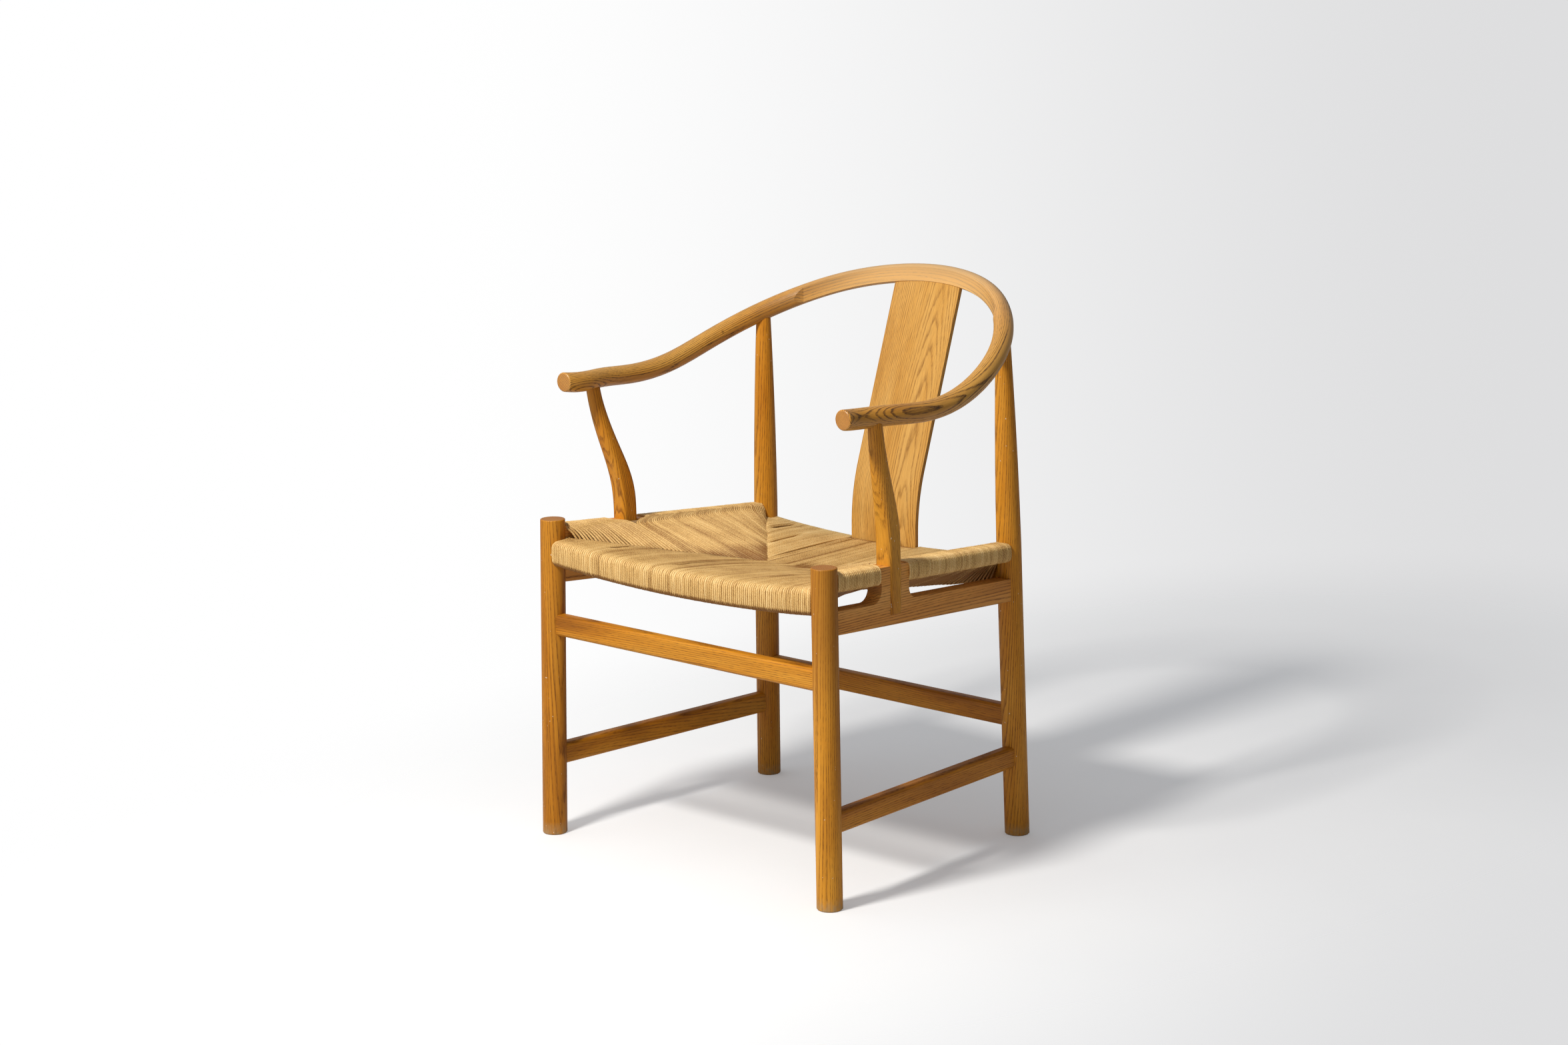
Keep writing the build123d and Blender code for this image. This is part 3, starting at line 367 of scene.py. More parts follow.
def set_curve(node, marks):
    """Shape of a curve node, from (input, output in millimetres) marks."""
    points = node.mapping.curves[0].points
    while len(points) < len(marks):
        points.new(0.5, 0.5)
    for point, (at, value) in zip(points, marks):
        point.location = (at, value * MM)
    node.mapping.update()


def along_rail(tree):
    """Straightened place in the rail: outwards, above its middle line, and along it."""
    place = add(tree, "TexCoord")
    parts = add(tree, "SeparateXYZ", [(0, place, "Object")])
    back = add(tree, "Math", [(0, parts, "Y")], [(1, RAIL_CENTRE)], operation="SUBTRACT")

    # behind its centre the rail is a bend, and in front of it two straight arms
    bend_y = add(tree, "Math", [(0, back, 0)], [(1, 0.1 * MM)], operation="MAXIMUM")
    arm_y = add(tree, "Math", [(0, back, 0)], [(1, 0.0)], operation="MINIMUM")
    plan = add(tree, "CombineXYZ", [("X", parts, "X"), ("Y", bend_y, 0)])
    radius = add(tree, "VectorMath", [(0, plan, 0)], operation="LENGTH")
    outwards = add(tree, "Math", [(0, radius, "Value")], [(1, RAIL_RADIUS)], operation="SUBTRACT")
    angle = add(tree, "Math", [(0, parts, "X"), (1, bend_y, 0)], operation="ARCTAN2")
    arc = add(tree, "Math", [(0, angle, 0)], [(1, RAIL_RADIUS)], operation="MULTIPLY")
    side = add(tree, "Math", [(0, parts, "X")], operation="SIGN")
    straight = add(tree, "Math", [(0, side, 0), (1, arm_y, 0)], operation="MULTIPLY")
    length = add(tree, "Math", [(0, arc, 0), (1, straight, 0)], operation="SUBTRACT")

    reach = add(tree, "Math", [(0, length, 0)], operation="ABSOLUTE")
    share = add(tree, "Math", [(0, reach, 0)], [(1, RAIL_REACH)], operation="DIVIDE")
    middle = add(tree, "FloatCurve", [("Value", share, 0)])
    set_curve(middle, RAIL_HEIGHTS)
    above = add(tree, "Math", [(0, parts, "Z"), (1, middle, 0)], operation="SUBTRACT")
    return add(tree, "CombineXYZ", [("X", outwards, 0), ("Y", above, 0), ("Z", length, 0)])


finish_node(
    "horseshoe_rail",
    ash(
        "oiled_ash_horseshoe_rail", GRAIN_UP, (90, 40), (0.9, 1.1), 15.2, UMBER,
        ring=2.4, warp=3.5, bands=0.75, pitting=0.75, field=along_rail, bent=True, spots=KNOT,
    ),
)


# ---------------------------------------------------------------- back splat
# One thin ash board, upright at its foot and bent back above the seat, hollowed across
# its width.  Steam bent, let into the rear seat rail and into a groove in the top rail.
HONEY = ("#8F5E20", "#BE8A3E", "#D0A45C", "#5C3814")
# how far back the board's middle lies in millimetres, by its height in metres
SPLAT_BEND = (
    (0.0, 160.3), (0.424, 160.3), (0.4705, 164.1), (0.517, 175.5), (0.79, 266.9), (1.0, 337.2),
)


def along_splat(tree):
    """Straightened place in the splat: across, behind its middle surface, and up."""
    place = add(tree, "TexCoord")
    parts = add(tree, "SeparateXYZ", [(0, place, "Object")])
    middle = add(tree, "FloatCurve", [("Value", parts, "Z")])
    set_curve(middle, SPLAT_BEND)
    behind = add(tree, "Math", [(0, parts, "Y"), (1, middle, 0)], operation="SUBTRACT")
    return add(tree, "CombineXYZ", [("X", parts, "X"), ("Y", behind, 0), ("Z", parts, "Z")])


finish_node(
    "back_splat",
    ash(
        "oiled_ash_back_splat", GRAIN_UP, (-40, -14), (3.0, 0.8), 16.3, HONEY,
        ring=2.5, warp=4.0, bands=0.62, pitting=0.4, field=along_splat,
    ),
)


# ---------------------------------------------------------------- stuffing and tacks
# Folded card fills each panel of the seat between its upper and lower cords, and steel
# tacks in the side rails hold the ends of the cord.  Both are nearly hidden.
def set_stops(node, stops):
    """Colours of a colour ramp, from (place, colour) stops."""
    elements = node.color_ramp.elements
    while len(elements) < len(stops):
        elements.new(0.5)
    for element, (place, code) in zip(elements, stops):
        element.position = place
        element.color = linear(code)


def plain_surface(name, dark, pale, grain_scale, roughness, metallic=0.0):
    """Material of two close tones with a fine uneven surface."""
    material, tree = new_material(name)
    place = add(tree, "TexCoord")
    spots = add(
        tree, "TexNoise", [("Vector", place, "Object")], [("Scale", grain_scale), ("Detail", 4.0)]
    )
    colour = add(tree, "ValToRGB", [(0, spots, "Fac")])
    set_stops(colour, ((0.35, dark), (0.65, pale)))
    relief = add(
        tree, "Bump", [("Height", spots, "Fac")], [("Strength", 0.3), ("Distance", 0.1 * MM)]
    )
    surface = add(
        tree, "BsdfPrincipled", [("Base Color", colour, 0), ("Normal", relief, 0)],
        [("Roughness", roughness), ("Metallic", metallic)],
    )
    add(tree, "OutputMaterial", [("Surface", surface, 0)])
    return material


CARD_FLECKS = 400
STEEL_FLECKS = 900
finish_node("seat_stuffing", plain_surface("brown_card", "#7A5E3C", "#9C7B50", CARD_FLECKS, 0.9))
finish_node(
    "cord_tacks", plain_surface("blued_steel", "#4C4A48", "#6E6B68", STEEL_FLECKS, 0.45, 1.0)
)


# ---------------------------------------------------------------- woven seat
# Twisted paper cord, a little over three millimetres thick, wound round the front and
# rear bars and through the slots of the side boards.  Each cord dives under its
# neighbour on a diagonal seam between two panels, and comes back on the underside.
CORD_RADIUS = 1.62 * MM
CORD_SIDES = 8
CORD_OFFSET = 1.5 * MM
CORD_PITCH = 3.7 * MM
CROWDED_PITCH = 3.25 * MM

# the curved bars, and the upper bars of the side boards' slots
BAR_ROUNDING = 6 * MM
BAR_HALF = 12 * MM
BAR_HEIGHT = 32 * MM
BAR_SAG = 12 * MM
FRONT_Y = -267.6 * MM
FRONT_TOP = 440 * MM
REAR_Y = 157.3 * MM
REAR_TOP = 412.4 * MM
SIDE_TOP = 460.5 * MM
SIDE_SLOPE = 0.065
SIDE_SPLAY = -0.0573
SIDE_HEIGHT = 22 * MM
FRONT_SLOT = (-252.6 * MM, -160.4 * MM)
REAR_SLOT = (-95.9 * MM, 143.8 * MM)

# the legs in plan, with the room that they take between the cords
FRONT_LEG = (263.5 * MM, -267.8 * MM)
REAR_LEG = (239.3 * MM, 157.3 * MM)
LEG_CLEAR = 18.3 * MM

# the seams run from the corners to the apex, and the cords are deepest at the corners
APEX = np.array((52, -41.6, 398)) * MM
FRONT_CORNER = np.array((247.5, -252.6, 440)) * MM
REAR_CORNER = np.array((224.9, 142.3, 412.4)) * MM
SEAM_DEPTH = (32 * MM, 26 * MM)
DIVE = 4.5 * MM
DIVE_RUN = 0.6 * CORD_OFFSET
SPLAT_FRONT = 155.0 * MM
SPLAT_LIP = 12 * MM

# unevenness: of a cord's thickness, its level, its line and its end in the seam
UNEVEN_SIZE = 0.045
UNEVEN_LEVEL = 0.5 * MM
SWAY = 0.2 * MM
SIDE_SWAY = 0.18 * MM
END_SLACK = 0.5 * MM
SIDE_SLACK = 0.4 * MM
# height of a panel's swell, and the length of cord that has all of it
SWELL = (2.2 * MM, 120 * MM)
SIDE_SWELL = (2.6 * MM, 110 * MM)
WRAP_SWELL = 0.3 * MM
UPPER_SHARES = (0.12, 0.24, 0.36, 0.48, 0.60, 0.72, 0.84)
# how much lighter a cord is round its bar, and how much painted shade darkens it below
WRAP_TONE = 0.12
UNDER_PAINTED_SHADE = -0.35

# lines along which neighbouring cords have parted, in plan, from front to back
CREASES = (
    ((-40, -256), (-43, -235), (-48, -200), (-52, -147), (-53, -100), (-52, -44)),
    ((-177, -240), (-173, -193)),
    ((-50, 90), (-51, 154)),
    ((-176, 100), (-172, 152)),
    ((-120, 30), (-118, 110)),
    ((120, -215), (118, -150)),
)
# how far a crease parts, lowers and darkens the cords, the darkening partly stain and partly painted
# shade, and to what distance beside it
CREASE_GAP = 1.1 * MM
CREASE_DROP = 3.4 * MM
CREASE_STAIN_AND_SHADE = 0.3
CREASE_PULL_REACH = 40 * MM
CREASE_GAP_REACH = 8 * MM
CREASE_DROP_REACH = 4.0 * MM
CREASE_DARKENING_REACH = 5 * MM
TOP_LAYER = 395 * MM
rng = np.random.default_rng(11)


def slow_wave(count, size, knots):
    """Unevenness that changes slowly from cord to cord."""
    marks = rng.normal(0, size, knots)
    return np.interp(np.linspace(0, knots - 1, count), np.arange(knots), marks)


def wrap(half, height, top, swell):
    """Turn of a cord round a bar, from over its inner edge to under it.

    Places are distances from the bar's middle line, positive towards the seam, and heights.
    """
    radius = BAR_ROUNDING + CORD_OFFSET
    inner = half - BAR_ROUNDING / 2
    outer = -half + BAR_ROUNDING
    points = [(inner, top + CORD_OFFSET)]
    for turn in (90, 120, 150, 180):
        angle = math.radians(turn)
        high = top - BAR_ROUNDING
        points.append((outer + radius * math.cos(angle), high + radius * math.sin(angle)))
    points.append((-half - CORD_OFFSET - swell, top - height / 2))
    for turn in (180, 210, 240, 270):
        angle = math.radians(turn)
        low = top - height + BAR_ROUNDING
        points.append((outer + radius * math.cos(angle), low + radius * math.sin(angle)))
    points.append((inner, top - height - CORD_OFFSET))
    return points


def cord_line(half, height, top, reach, seam_top, depth, swell, shares):
    """Section line of one cord: its end in the seam, over the bar, round it and back."""
    turn = wrap(half, height, top, WRAP_SWELL)
    start, finish = turn[0], turn[-1]
    high = seam_top + CORD_OFFSET
    low = seam_top - depth - CORD_OFFSET
    line = [(reach + DIVE_RUN, high - DIVE), (reach, high)]
    for share in shares[::-1]:
        crown = swell * 4 * share * (1 - share)
        out = start[0] + (reach - start[0]) * share
        line.append((out, start[1] + (high - start[1]) * share + crown))
    line += turn
    line.append(((finish[0] + reach) / 2, (finish[1] + low) / 2 - swell / 2))
    line.append((reach, low))
    return np.array(line)


def clear_of_leg(across, along, leg, rank):
    """Place of a cord beside a leg, pressed in by the cords between it and the leg."""
    offset = np.abs(along - leg[1])
    bulge = np.sqrt(np.maximum(LEG_CLEAR**2 - offset**2, 0.0))
    limit = leg[0] - bulge - CORD_RADIUS - CROWDED_PITCH * rank
    return np.where(offset < LEG_CLEAR, np.minimum(across, limit), across)


def settle(paths):
    """Parts, lowers and darkens the cords that run from front to back along a crease."""
    for path in paths:
        for crease in CREASES:
            marks = np.array(crease) * MM
            run = marks[-1, 1] - marks[0, 1]
            share = np.clip((path[:, 1] - marks[0, 1]) / run, 0, 1)
            on_top = path[:, 2] > TOP_LAYER
            strength = np.where(on_top, np.minimum(1, 6 * share * (1 - share)), 0)
            gap = path[-1, 0] - marks[0, 0]
            bend = np.interp(path[:, 1], marks[:, 1], marks[:, 0]) - marks[0, 0]
            parting = math.copysign(CREASE_GAP, gap)
            path[:, 0] += strength * bend * math.exp(-((gap / CREASE_PULL_REACH) ** 2))
            path[:, 0] += strength * parting * math.exp(-((gap / CREASE_GAP_REACH) ** 2))
            path[:, 2] -= strength * CREASE_DROP * math.exp(-((gap / CREASE_DROP_REACH) ** 2))
            # the darkening along a crease is partly the cords' stain and partly painted shade
            path[:, 4] -= strength * CREASE_STAIN_AND_SHADE * math.exp(-((gap / CREASE_DARKENING_REACH) ** 2))
    return paths


def dressed(x, y, line, bar_middle, spread_to=1.0):
    """Path of a cord with its uneven thickness and its tone.

    A cord may flatten out towards the seam.  It is lighter round the bar, and painted
    shade makes it darker below.
    """
    widening = np.linspace(spread_to, 1.0, len(line))
    size = (1 + rng.normal(0, UNEVEN_SIZE, len(line))) * widening
    # painted shade darkens a cord below its bar
    below = line[:, 1] < bar_middle - 0.4 * BAR_HEIGHT
    tone = np.where(below, UNDER_PAINTED_SHADE, np.where(line[:, 0] < 0, WRAP_TONE, 0.0))
    return np.c_[x, y, line[:, 1], size, tone]


def tube_piece(name, paths, panel_tone):
    """Mesh of round cords along paths, with the lay and the tone of each cord kept on it."""
    curve = bpy.data.curves.new(name, "CURVE")
    curve.dimensions = "3D"
    curve.bevel_depth = CORD_RADIUS
    curve.bevel_resolution = CORD_SIDES // 2 - 2
    for path in paths:
        spline = curve.splines.new("POLY")
        spline.points.add(len(path) - 1)
        spline.points.foreach_set("co", np.c_[path[:, :3], np.ones(len(path))].ravel())
        spline.points.foreach_set("radius", path[:, 3])
    holder = bpy.data.objects.new(name + "_lines", curve)
    bpy.context.scene.collection.objects.link(holder)
    bpy.context.view_layer.update()
    evaluated = holder.evaluated_get(bpy.context.evaluated_depsgraph_get())
    mesh = bpy.data.meshes.new_from_object(evaluated)
    bpy.data.objects.remove(holder)
    bpy.data.curves.remove(curve)

    # length along the cord and place round it, at each vertex, for the twist
    lay = []
    tone = []
    around = np.arange(CORD_SIDES) * 2 * math.pi / CORD_SIDES
    for path in paths:
        steps = np.r_[0, np.cumsum(np.linalg.norm(np.diff(path[:, :3], axis=0), axis=1))]
        start = rng.uniform(0, 0.05)
        own_tone = panel_tone + rng.normal(0, 0.07)
        for step, extra in zip(steps, path[:, 4]):
            lay += [(step + start, math.cos(angle), math.sin(angle)) for angle in around]
            tone += [own_tone + extra] * CORD_SIDES
    if len(lay) != len(mesh.vertices):
        raise RuntimeError(f"{name}: {len(lay)} places for {len(mesh.vertices)} vertices")
    kept_lay = mesh.attributes.new("lay", "FLOAT_VECTOR", "POINT")
    kept_lay.data.foreach_set("vector", np.ravel(lay))
    # the tone holds each cord's own tone and stain, and painted shade below the bars and in the creases
    mesh.attributes.new("tone", "FLOAT", "POINT").data.foreach_set("value", tone)

    shape = bmesh.new()
    shape.from_mesh(mesh)
    open_ends = [edge for edge in shape.edges if edge.is_boundary]
    bmesh.ops.holes_fill(shape, edges=open_ends, sides=CORD_SIDES)
    for face in shape.faces:
        face.smooth = True
    shape.to_mesh(mesh)
    shape.free()
    piece = bpy.data.objects.new(name, mesh)
    bpy.context.scene.collection.objects.link(piece)
    return piece


def seam_place(corner, share):
    """Point on a seam, and how deep the panel is there, by its share of the way in."""
    depth = SEAM_DEPTH[0] + (SEAM_DEPTH[1] - SEAM_DEPTH[0]) * share
    return corner + (APEX - corner) * share, depth


def cross_cords(corner, rail, leg, inward, xs):
    """Cords over the front or the rear bar beside one leg, out to the seam.  xs run inwards."""
    rail_y, rail_top = rail
    lift = slow_wave(len(xs), UNEVEN_LEVEL, 12)
    paths = []
    for rank, x in enumerate(xs):
        top = rail_top - BAR_SAG * (1 - (x / leg[0]) ** 2)
        share = np.clip((corner[0] - x) / (corner[0] - APEX[0]), 0, 1)
        seam, depth = seam_place(corner, share)
        reach = abs(seam[1] - rail_y) + rng.normal(0, END_SLACK)
        swell = SWELL[0] * min(1.0, reach / SWELL[1])
        high = seam[2] + lift[rank]
        line = cord_line(BAR_HALF, BAR_HEIGHT, top, reach, high, depth, swell, UPPER_SHARES)
        y = rail_y + inward * line[:, 0]
        across = clear_of_leg(x + rng.normal(0, SWAY, len(line)), y, leg, rank)
        paths.append(dressed(across, y, line, top - BAR_HEIGHT / 2))
    return paths


def back_run(start_y, start_z):
    """End of a cord that runs on to the front of the splat and down before the rear bar."""
    top = REAR_TOP - BAR_SAG + CORD_OFFSET
    near = SPLAT_FRONT - SPLAT_LIP
    line = [(SPLAT_FRONT, top - DIVE), (SPLAT_FRONT - 0.5 * MM, top), (near, top + 0.4 * MM)]
    for share in (0.25, 0.5, 0.75):
        fall = share * share * (3 - 2 * share)
        line.append((near + (start_y - near) * share, top + (start_z - top) * fall))
    return np.array(line)


def middle_cords(xs):
    """Cords over the front bar that run right back to the splat, between the two seams."""
    paths = []
    lift = slow_wave(len(xs), UNEVEN_LEVEL, 8)
    reach = APEX[1] - FRONT_Y
    low_end = (SPLAT_FRONT - SPLAT_LIP - FRONT_Y, REAR_TOP - BAR_SAG - BAR_HEIGHT)
    for index, x in enumerate(xs):
        top = FRONT_TOP - BAR_SAG * (1 - (x / FRONT_LEG[0]) ** 2)
        high = APEX[2] + lift[index]
        line = cord_line(
            BAR_HALF, BAR_HEIGHT, top, reach, high, SEAM_DEPTH[1], SWELL[0], UPPER_SHARES
        )
        behind = back_run(APEX[1], high + CORD_OFFSET) - (FRONT_Y, 0)
        line = np.vstack([behind, line[1:-1], low_end])
        across = x + rng.normal(0, SWAY, len(line))
        paths.append(dressed(across, FRONT_Y + line[:, 0], line, top - BAR_HEIGHT / 2))
    return paths


def splat_cords(xs):
    """Short cords from a seam to the front of the splat, beside the seams' ends."""
    paths = []
    for x in xs:
        seam, _ = seam_place(REAR_CORNER, (REAR_CORNER[0] - x) / (REAR_CORNER[0] - APEX[0]))
        high = seam[2] + CORD_OFFSET
        end = (seam[1] - DIVE_RUN, high - DIVE)
        line = np.vstack([back_run(seam[1], high), (seam[1], high), end])
        across = x + rng.normal(0, SWAY, len(line))
        paths.append(dressed(across, line[:, 0].copy(), line + (1, 0), 0.0))
    return paths


# The side cords start close together and fan out: their places along a cord in
# millimetres, how many of them end in the front seam, where each seam's cords start and
# end, and how much the cords widen, which those in the front corner have no room for.
FAN_REACH = 7 * MM
FAN_STEPS = (3, 7, 12, 18, 26, 38, 56, 84, 120, 158)
TO_FRONT = 48
FRONT_SEAM = (FRONT_CORNER[1] + 10 * MM, APEX[1] - 1 * MM)
REAR_SEAM = (APEX[1] + 2 * MM, REAR_CORNER[1] - 6 * MM)
CORNER_CORDS = 15
CORNER_WIDENING = 1.02
WIDENING = 1.22


def side_cords():
    """Cords round the upper bar of the left side board, out to both seams.

    They close up behind the block, where they part to go round the arm support.
    """
    at_bar = np.r_[np.arange(*FRONT_SLOT, CORD_PITCH), np.arange(*REAR_SLOT, CORD_PITCH)]
    front_seam = np.linspace(*FRONT_SEAM, TO_FRONT)
    rear_seam = np.linspace(*REAR_SEAM, len(at_bar) - TO_FRONT)
    at_seam = np.r_[front_seam, rear_seam]
    lift = slow_wave(len(at_bar), UNEVEN_LEVEL, 16)
    paths = []
    for index, (bar_y, seam_y) in enumerate(zip(at_bar, at_seam)):
        corner = FRONT_CORNER if index < TO_FRONT else REAR_CORNER
        seam, depth = seam_place(corner, (seam_y - corner[1]) / (APEX[1] - corner[1]))
        bar_x = FRONT_LEG[0] + SIDE_SPLAY * (bar_y - FRONT_Y)
        top = SIDE_TOP - SIDE_SLOPE * (bar_y - FRONT_Y)
        reach = bar_x - seam[0] + rng.normal(0, SIDE_SLACK)
        run = reach - BAR_HALF
        swell = SIDE_SWELL[0] * min(1.0, run / SIDE_SWELL[1])
        shares = [step * MM / run for step in FAN_STEPS if step * MM < 0.9 * run]
        high = seam[2] + lift[index]
        line = cord_line(BAR_HALF, SIDE_HEIGHT, top, reach, high, depth, swell, shares)
        out = np.maximum(line[:, 0] - BAR_HALF, 0)
        fan = (1 - np.exp(-out / FAN_REACH)) / (1 - math.exp(-run / FAN_REACH))
        sway = rng.normal(0, SIDE_SWAY, len(line))
        y = bar_y + (seam_y - bar_y) * np.minimum(fan, 1) + sway
        x = bar_x - line[:, 0]
        y = -clear_of_leg(-y, x, (-FRONT_LEG[1], FRONT_LEG[0]), index)
        y = clear_of_leg(y, x, (REAR_LEG[1], REAR_LEG[0]), len(at_bar) - 1 - index)
        widening = CORNER_WIDENING if index < CORNER_CORDS else WIDENING
        paths.append(dressed(x, y, line, top - SIDE_HEIGHT, widening))
    return paths


def mirrored(paths):
    """The same cords on the other side of the chair."""
    return [path * (-1, 1, 1, 1, 1) for path in paths]


# Unbleached paper cord: dry, slightly glossy twisted paper.  The eye sees straw yellow
# with a shadow in the lay of the twist and between the cords, and a fibrous, worn top.
CORD_LOW = "#8A5C22"
CORD_MID = "#D0A866"
CORD_HIGH = "#EDCD90"
TWIST_LENGTH = 11 * MM
CORD_STRANDS = 3
# how often fibres and worn patches repeat in a metre, and each pattern's share of the tone
CORD_FUZZ = 520
CORD_PATCHES = 22
TWIST_SHADE = 0.12
FUZZ_SHARE = 0.6
PATCH_SHARE = 0.4


def paper_cord(name):
    """Twisted paper cord that follows the lay kept on the mesh."""
    material, tree = new_material(name)
    lay = add(tree, "Attribute", attribute_name="lay")
    tone = add(tree, "Attribute", attribute_name="tone")
    place = add(tree, "TexCoord")
    parts = add(tree, "SeparateXYZ", [(0, lay, "Vector")])
    turn = add(tree, "Math", [(0, parts, "Z"), (1, parts, "Y")], operation="ARCTAN2")
    several = add(tree, "Math", [(0, turn, 0)], [(1, CORD_STRANDS)], operation="MULTIPLY")
    phase = add(
        tree, "Math", [(0, parts, "X"), (2, several, 0)],
        [(1, 2 * math.pi * CORD_STRANDS / TWIST_LENGTH)], operation="MULTIPLY_ADD",
    )
    wave = add(tree, "Math", [(0, phase, 0)], operation="SINE")
    ridge = add(tree, "MapRange", [(0, wave, 0)], zip(RANGE, (-1, 1, 0, 1)))
    fuzz = add(
        tree, "TexNoise", [("Vector", place, "Object")], [("Scale", CORD_FUZZ), ("Detail", 3.0)]
    )
    patches = add(
        tree, "TexNoise", [("Vector", place, "Object")], [("Scale", CORD_PATCHES), ("Detail", 4.0)]
    )
    # the twist darkens the cord in the grooves of its lay, a painted shade
    twisted = add(
        tree, "Math", [(0, ridge, 0), (2, tone, "Fac")],
        [(1, TWIST_SHADE)], operation="MULTIPLY_ADD",
    )
    fuzzy = add(
        tree, "Math", [(0, fuzz, "Fac"), (2, twisted, 0)],
        [(1, FUZZ_SHARE)], operation="MULTIPLY_ADD",
    )
    patchy = add(
        tree, "Math", [(0, patches, "Fac"), (2, fuzzy, 0)],
        [(1, PATCH_SHARE)], operation="MULTIPLY_ADD",
    )
    colour = add(tree, "ValToRGB", [(0, patchy, 0)])
    set_stops(colour, ((0.25, CORD_LOW), (0.62, CORD_MID), (1.0, CORD_HIGH)))
    height = add(
        tree, "Math", [(0, fuzz, "Fac"), (2, ridge, 0)], [(1, 0.8)], operation="MULTIPLY_ADD"
    )
    relief = add(tree, "Bump", [("Height", height, 0)], [("Strength", 0.4), ("Distance", 0.2 * MM)])
    surface = add(
        tree, "BsdfPrincipled", [("Base Color", colour, 0), ("Normal", relief, 0)],
        [("Roughness", 0.62)],
    )
    add(tree, "OutputMaterial", [("Surface", surface, 0)])
    return material


CORD = paper_cord("twisted_paper_cord")

# places of the cords across the front bar, the rear bar and the gap beside the splat
FRONT_CORDS = 135
FRONT_HALF = 249.7
REAR_HALF = 225.0 * MM
SPLAT_EDGE = 63.6 * MM
all_front_xs = np.linspace(FRONT_HALF, -FRONT_HALF, FRONT_CORDS) * MM
front_xs = all_front_xs[all_front_xs > APEX[0]]
middle_xs = all_front_xs[np.abs(all_front_xs) <= APEX[0]]
rear_xs = np.arange(REAR_HALF, SPLAT_EDGE, -CORD_PITCH)
beside_splat = np.linspace(51.9, 62.4, 4) * MM

front_rail = (FRONT_Y, FRONT_TOP)
rear_rail = (REAR_Y, REAR_TOP)
front_side = cross_cords(FRONT_CORNER, front_rail, FRONT_LEG, 1, front_xs)
front_far = mirrored(cross_cords(FRONT_CORNER, front_rail, FRONT_LEG, 1, front_xs))
rear_side = cross_cords(REAR_CORNER, rear_rail, REAR_LEG, -1, rear_xs)
rear_side += splat_cords(beside_splat)
rear_far = cross_cords(REAR_CORNER, rear_rail, REAR_LEG, -1, rear_xs)
rear_far = mirrored(rear_far + splat_cords(beside_splat))
front_cords = settle(front_side + front_far + middle_cords(middle_xs))
panels = {
    "seat_cords_front": (front_cords, -0.02, "weave_front"),
    "seat_cords_rear": (settle(rear_side + rear_far), 0.08, "weave_rear"),
    "seat_cords_left": (side_cords(), -0.02, "weave_left"),
    "seat_cords_right": (mirrored(side_cords()), -0.02, "weave_right"),
}
for piece_name, (paths, panel_tone, node) in panels.items():
    cords = tube_piece(piece_name, paths, panel_tone)
    cords.data.materials.append(CORD)
    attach(cords, "root")
    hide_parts(node)


# ---------------------------------------------------------------- studio
# A pale matt floor, one soft key lamp high in front of the chair, and a white surround
# that is brighter on one side.
FLOOR_RADIUS = 12.0
FLOOR_CLOUDS = (1.3, 1.3, 1.3)
# the middle and the half widths of the floor's oval before it runs out into white
OVAL_MIDDLE = (0.05, 0.45)
OVAL_SIZE = (0.62, 1.15)


def pale_floor():
    """Matt painted floor with faint unevenness, which runs out into the white surround."""
    material, tree = new_material("pale_floor")
    place = add(tree, "TexCoord")
    clouds = figure(tree, place, FLOOR_CLOUDS, 5.0, "Object")
    colour = add(tree, "ValToRGB", [(0, clouds, "Fac")])
    set_stops(colour, ((0.3, "#F1F1F2"), (0.7, "#FAFAFA")))
    path = add(tree, "LightPath")
    seen = [("Factor", path, "Is Camera Ray"), (7, colour, 0)]
    painted = add(tree, "Mix", seen, [(6, linear("#D2CEC8"))], data_type="RGBA")
    surface = add(
        tree, "BsdfPrincipled", [("Base Color", painted, 2)],
        [("Roughness", 0.8), ("Specular IOR Level", 0.2)],
    )
    shift = [-middle / size for middle, size in zip(OVAL_MIDDLE, OVAL_SIZE)]
    shrink = (1 / OVAL_SIZE[0], 1 / OVAL_SIZE[1], 1)
    placed = [("Location", (*shift, 0)), ("Scale", shrink)]
    oval = add(tree, "Mapping", [(0, place, "Object")], placed)
    reach = add(tree, "VectorMath", [(0, oval, 0)], operation="LENGTH")
    fade_range = (0.5, 1.8, 0.18, 1.0)
    run_out = add(tree, "MapRange", [(0, reach, "Value")], zip(RANGE, fade_range), **SMOOTH)
    fade = add(tree, "Math", [(0, run_out, 0), (1, path, "Is Camera Ray")], operation="MULTIPLY")
    clear = add(tree, "BsdfTransparent")
    faded = add(tree, "MixShader", [(0, fade, 0), (1, surface, 0), (2, clear, 0)])
    add(tree, "OutputMaterial", [("Surface", faded, 0)])
    return material


ground = bmesh.new()
bmesh.ops.create_circle(ground, cap_ends=True, radius=FLOOR_RADIUS, segments=64)
floor_mesh = bpy.data.meshes.new("floor")
ground.to_mesh(floor_mesh)
ground.free()
floor = bpy.data.objects.new("floor", floor_mesh)
bpy.context.scene.collection.objects.link(floor)
floor.data.materials.append(pale_floor())

KEY_PLACE = (-0.03, -1.85, 2.33)
KEY_TARGET = (0.0, 0.05, 0.40)
KEY_SIZE = 0.45
KEY_POWER = 75.0
key = bpy.data.objects.new("key_lamp", bpy.data.lights.new("key_lamp", "AREA"))
key.data.energy = KEY_POWER
key.data.shape = "DISK"
key.data.size = KEY_SIZE
key.data.color = linear("#FFFCF7")[:3]
key.location = KEY_PLACE
key.rotation_mode = "QUATERNION"
key.rotation_quaternion = (Vector(KEY_TARGET) - key.location).to_track_quat("-Z", "Y")
bpy.context.scene.collection.objects.link(key)

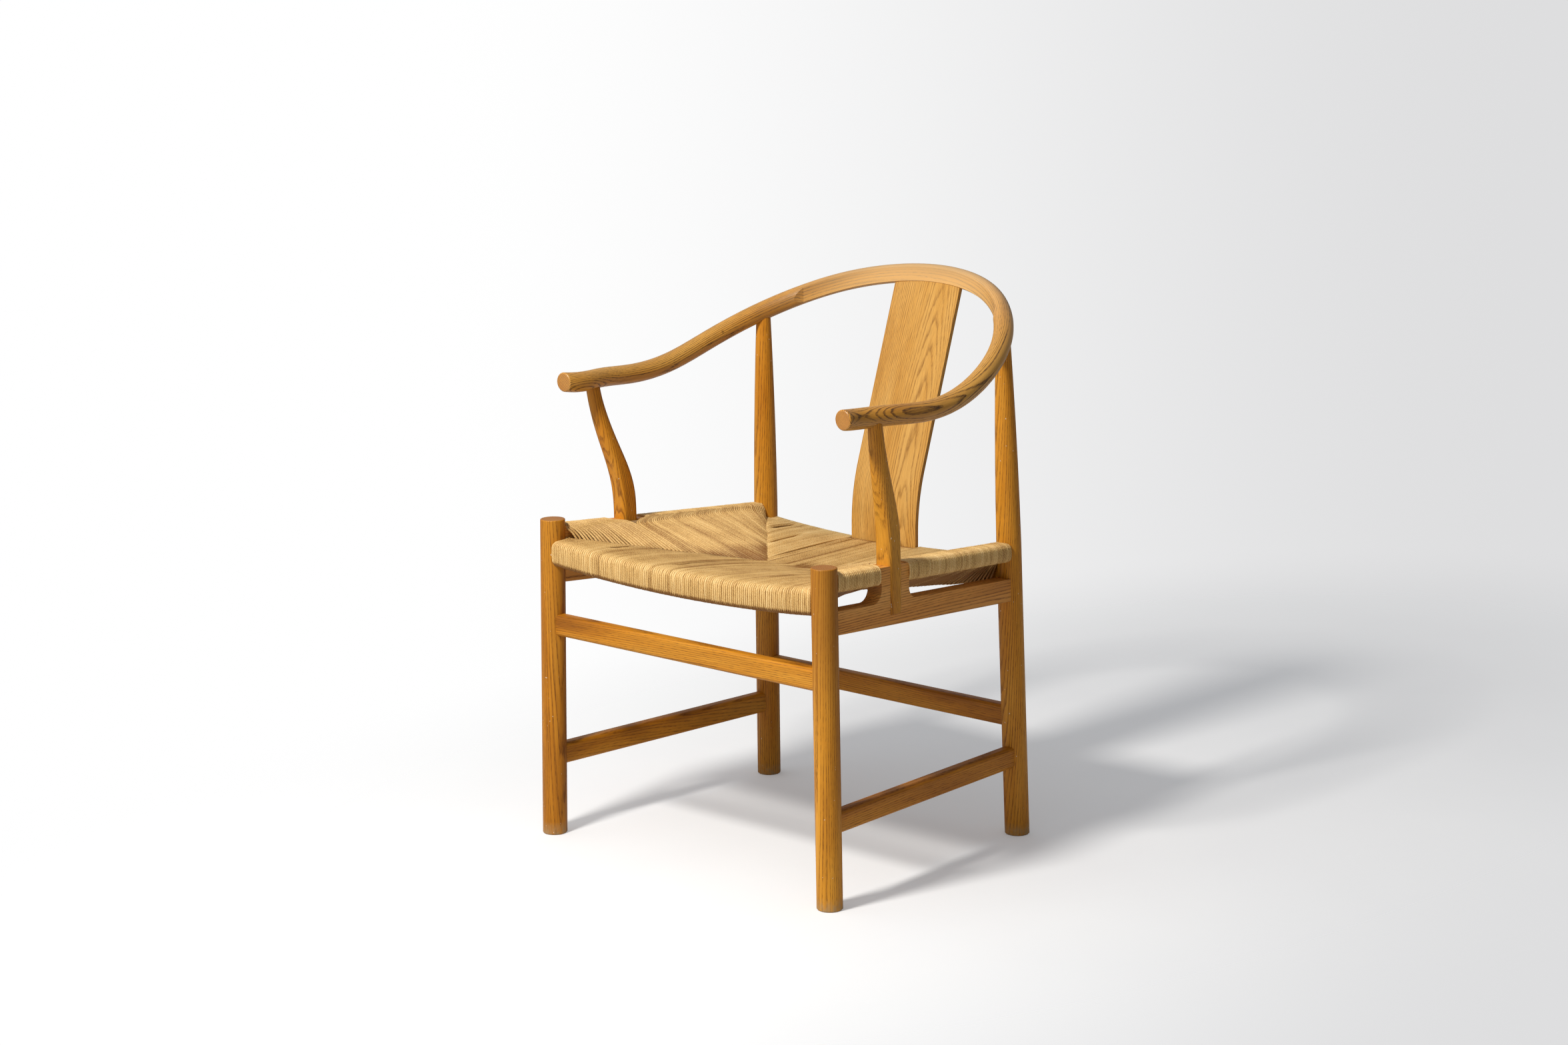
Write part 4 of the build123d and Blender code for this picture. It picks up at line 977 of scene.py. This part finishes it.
# the surround lights the chair from its bright side, and is seen as white that falls off
BRIGHT_SIDE = (-0.70, -0.45, 0.55)
SURROUND_LIGHT = (-1.0, 1.0, 0.02, 0.62)
FALL_OFF_SIDE = (0.735, 0.678, 0)
FALL_OFF = (-0.12, 0.25, 0.0, 1.0)
world = bpy.data.worlds.new("white_surround")
world.use_nodes = True
sky = world.node_tree
sky.nodes.clear()
path = add(sky, "LightPath")
looks = [(0, path, "Is Camera Ray"), (1, path, "Is Transmission Ray")]
clear = add(sky, "Math", looks, operation="MAXIMUM")
heading = add(sky, "TexCoord")
facing = add(
    sky, "VectorMath", [(0, heading, "Generated")], [(1, BRIGHT_SIDE)], operation="DOT_PRODUCT"
)
brightness = add(sky, "MapRange", [(0, facing, "Value")], zip(RANGE, SURROUND_LIGHT))
lit = add(sky, "Background", [("Strength", brightness, 0)], [("Color", linear("#F7FAFF"))])
sideways = add(
    sky, "VectorMath", [(0, heading, "Generated")], [(1, FALL_OFF_SIDE)], operation="DOT_PRODUCT"
)
falling = add(sky, "MapRange", [(0, sideways, "Value")], zip(RANGE, FALL_OFF), **SMOOTH)
seen_colour = add(sky, "ValToRGB", [(0, falling, 0)])
set_stops(seen_colour, ((0.0, "#FFFFFF"), (1.0, "#DEDEDF")))
seen = add(sky, "Background", [(0, seen_colour, 0)], [("Strength", 1.0)])
both = add(sky, "MixShader", [(0, clear, 0), (1, lit, 0), (2, seen, 0)])
add(sky, "OutputWorld", [(0, both, 0)])
bpy.context.scene.world = world

CAMERA_PLACE = (2.8842, -3.18483, 1.3137)
CAMERA_YAW = 42.71
CAMERA_PITCH = 11.265
CAMERA_ROLL = 0.61
CAMERA_LENS = 69.44
camera = bpy.data.objects.new("camera", bpy.data.cameras.new("camera"))
camera.data.lens = CAMERA_LENS
camera.data.sensor_width = 36.0
camera.matrix_world = (
    Matrix.Translation(CAMERA_PLACE)
    @ Matrix.Rotation(math.radians(CAMERA_YAW), 4, "Z")
    @ Matrix.Rotation(math.radians(90 - CAMERA_PITCH), 4, "X")
    @ Matrix.Rotation(math.radians(-CAMERA_ROLL), 4, "Z")
)
bpy.context.scene.collection.objects.link(camera)
bpy.context.scene.camera = camera
bpy.context.scene.view_settings.view_transform = "Standard"
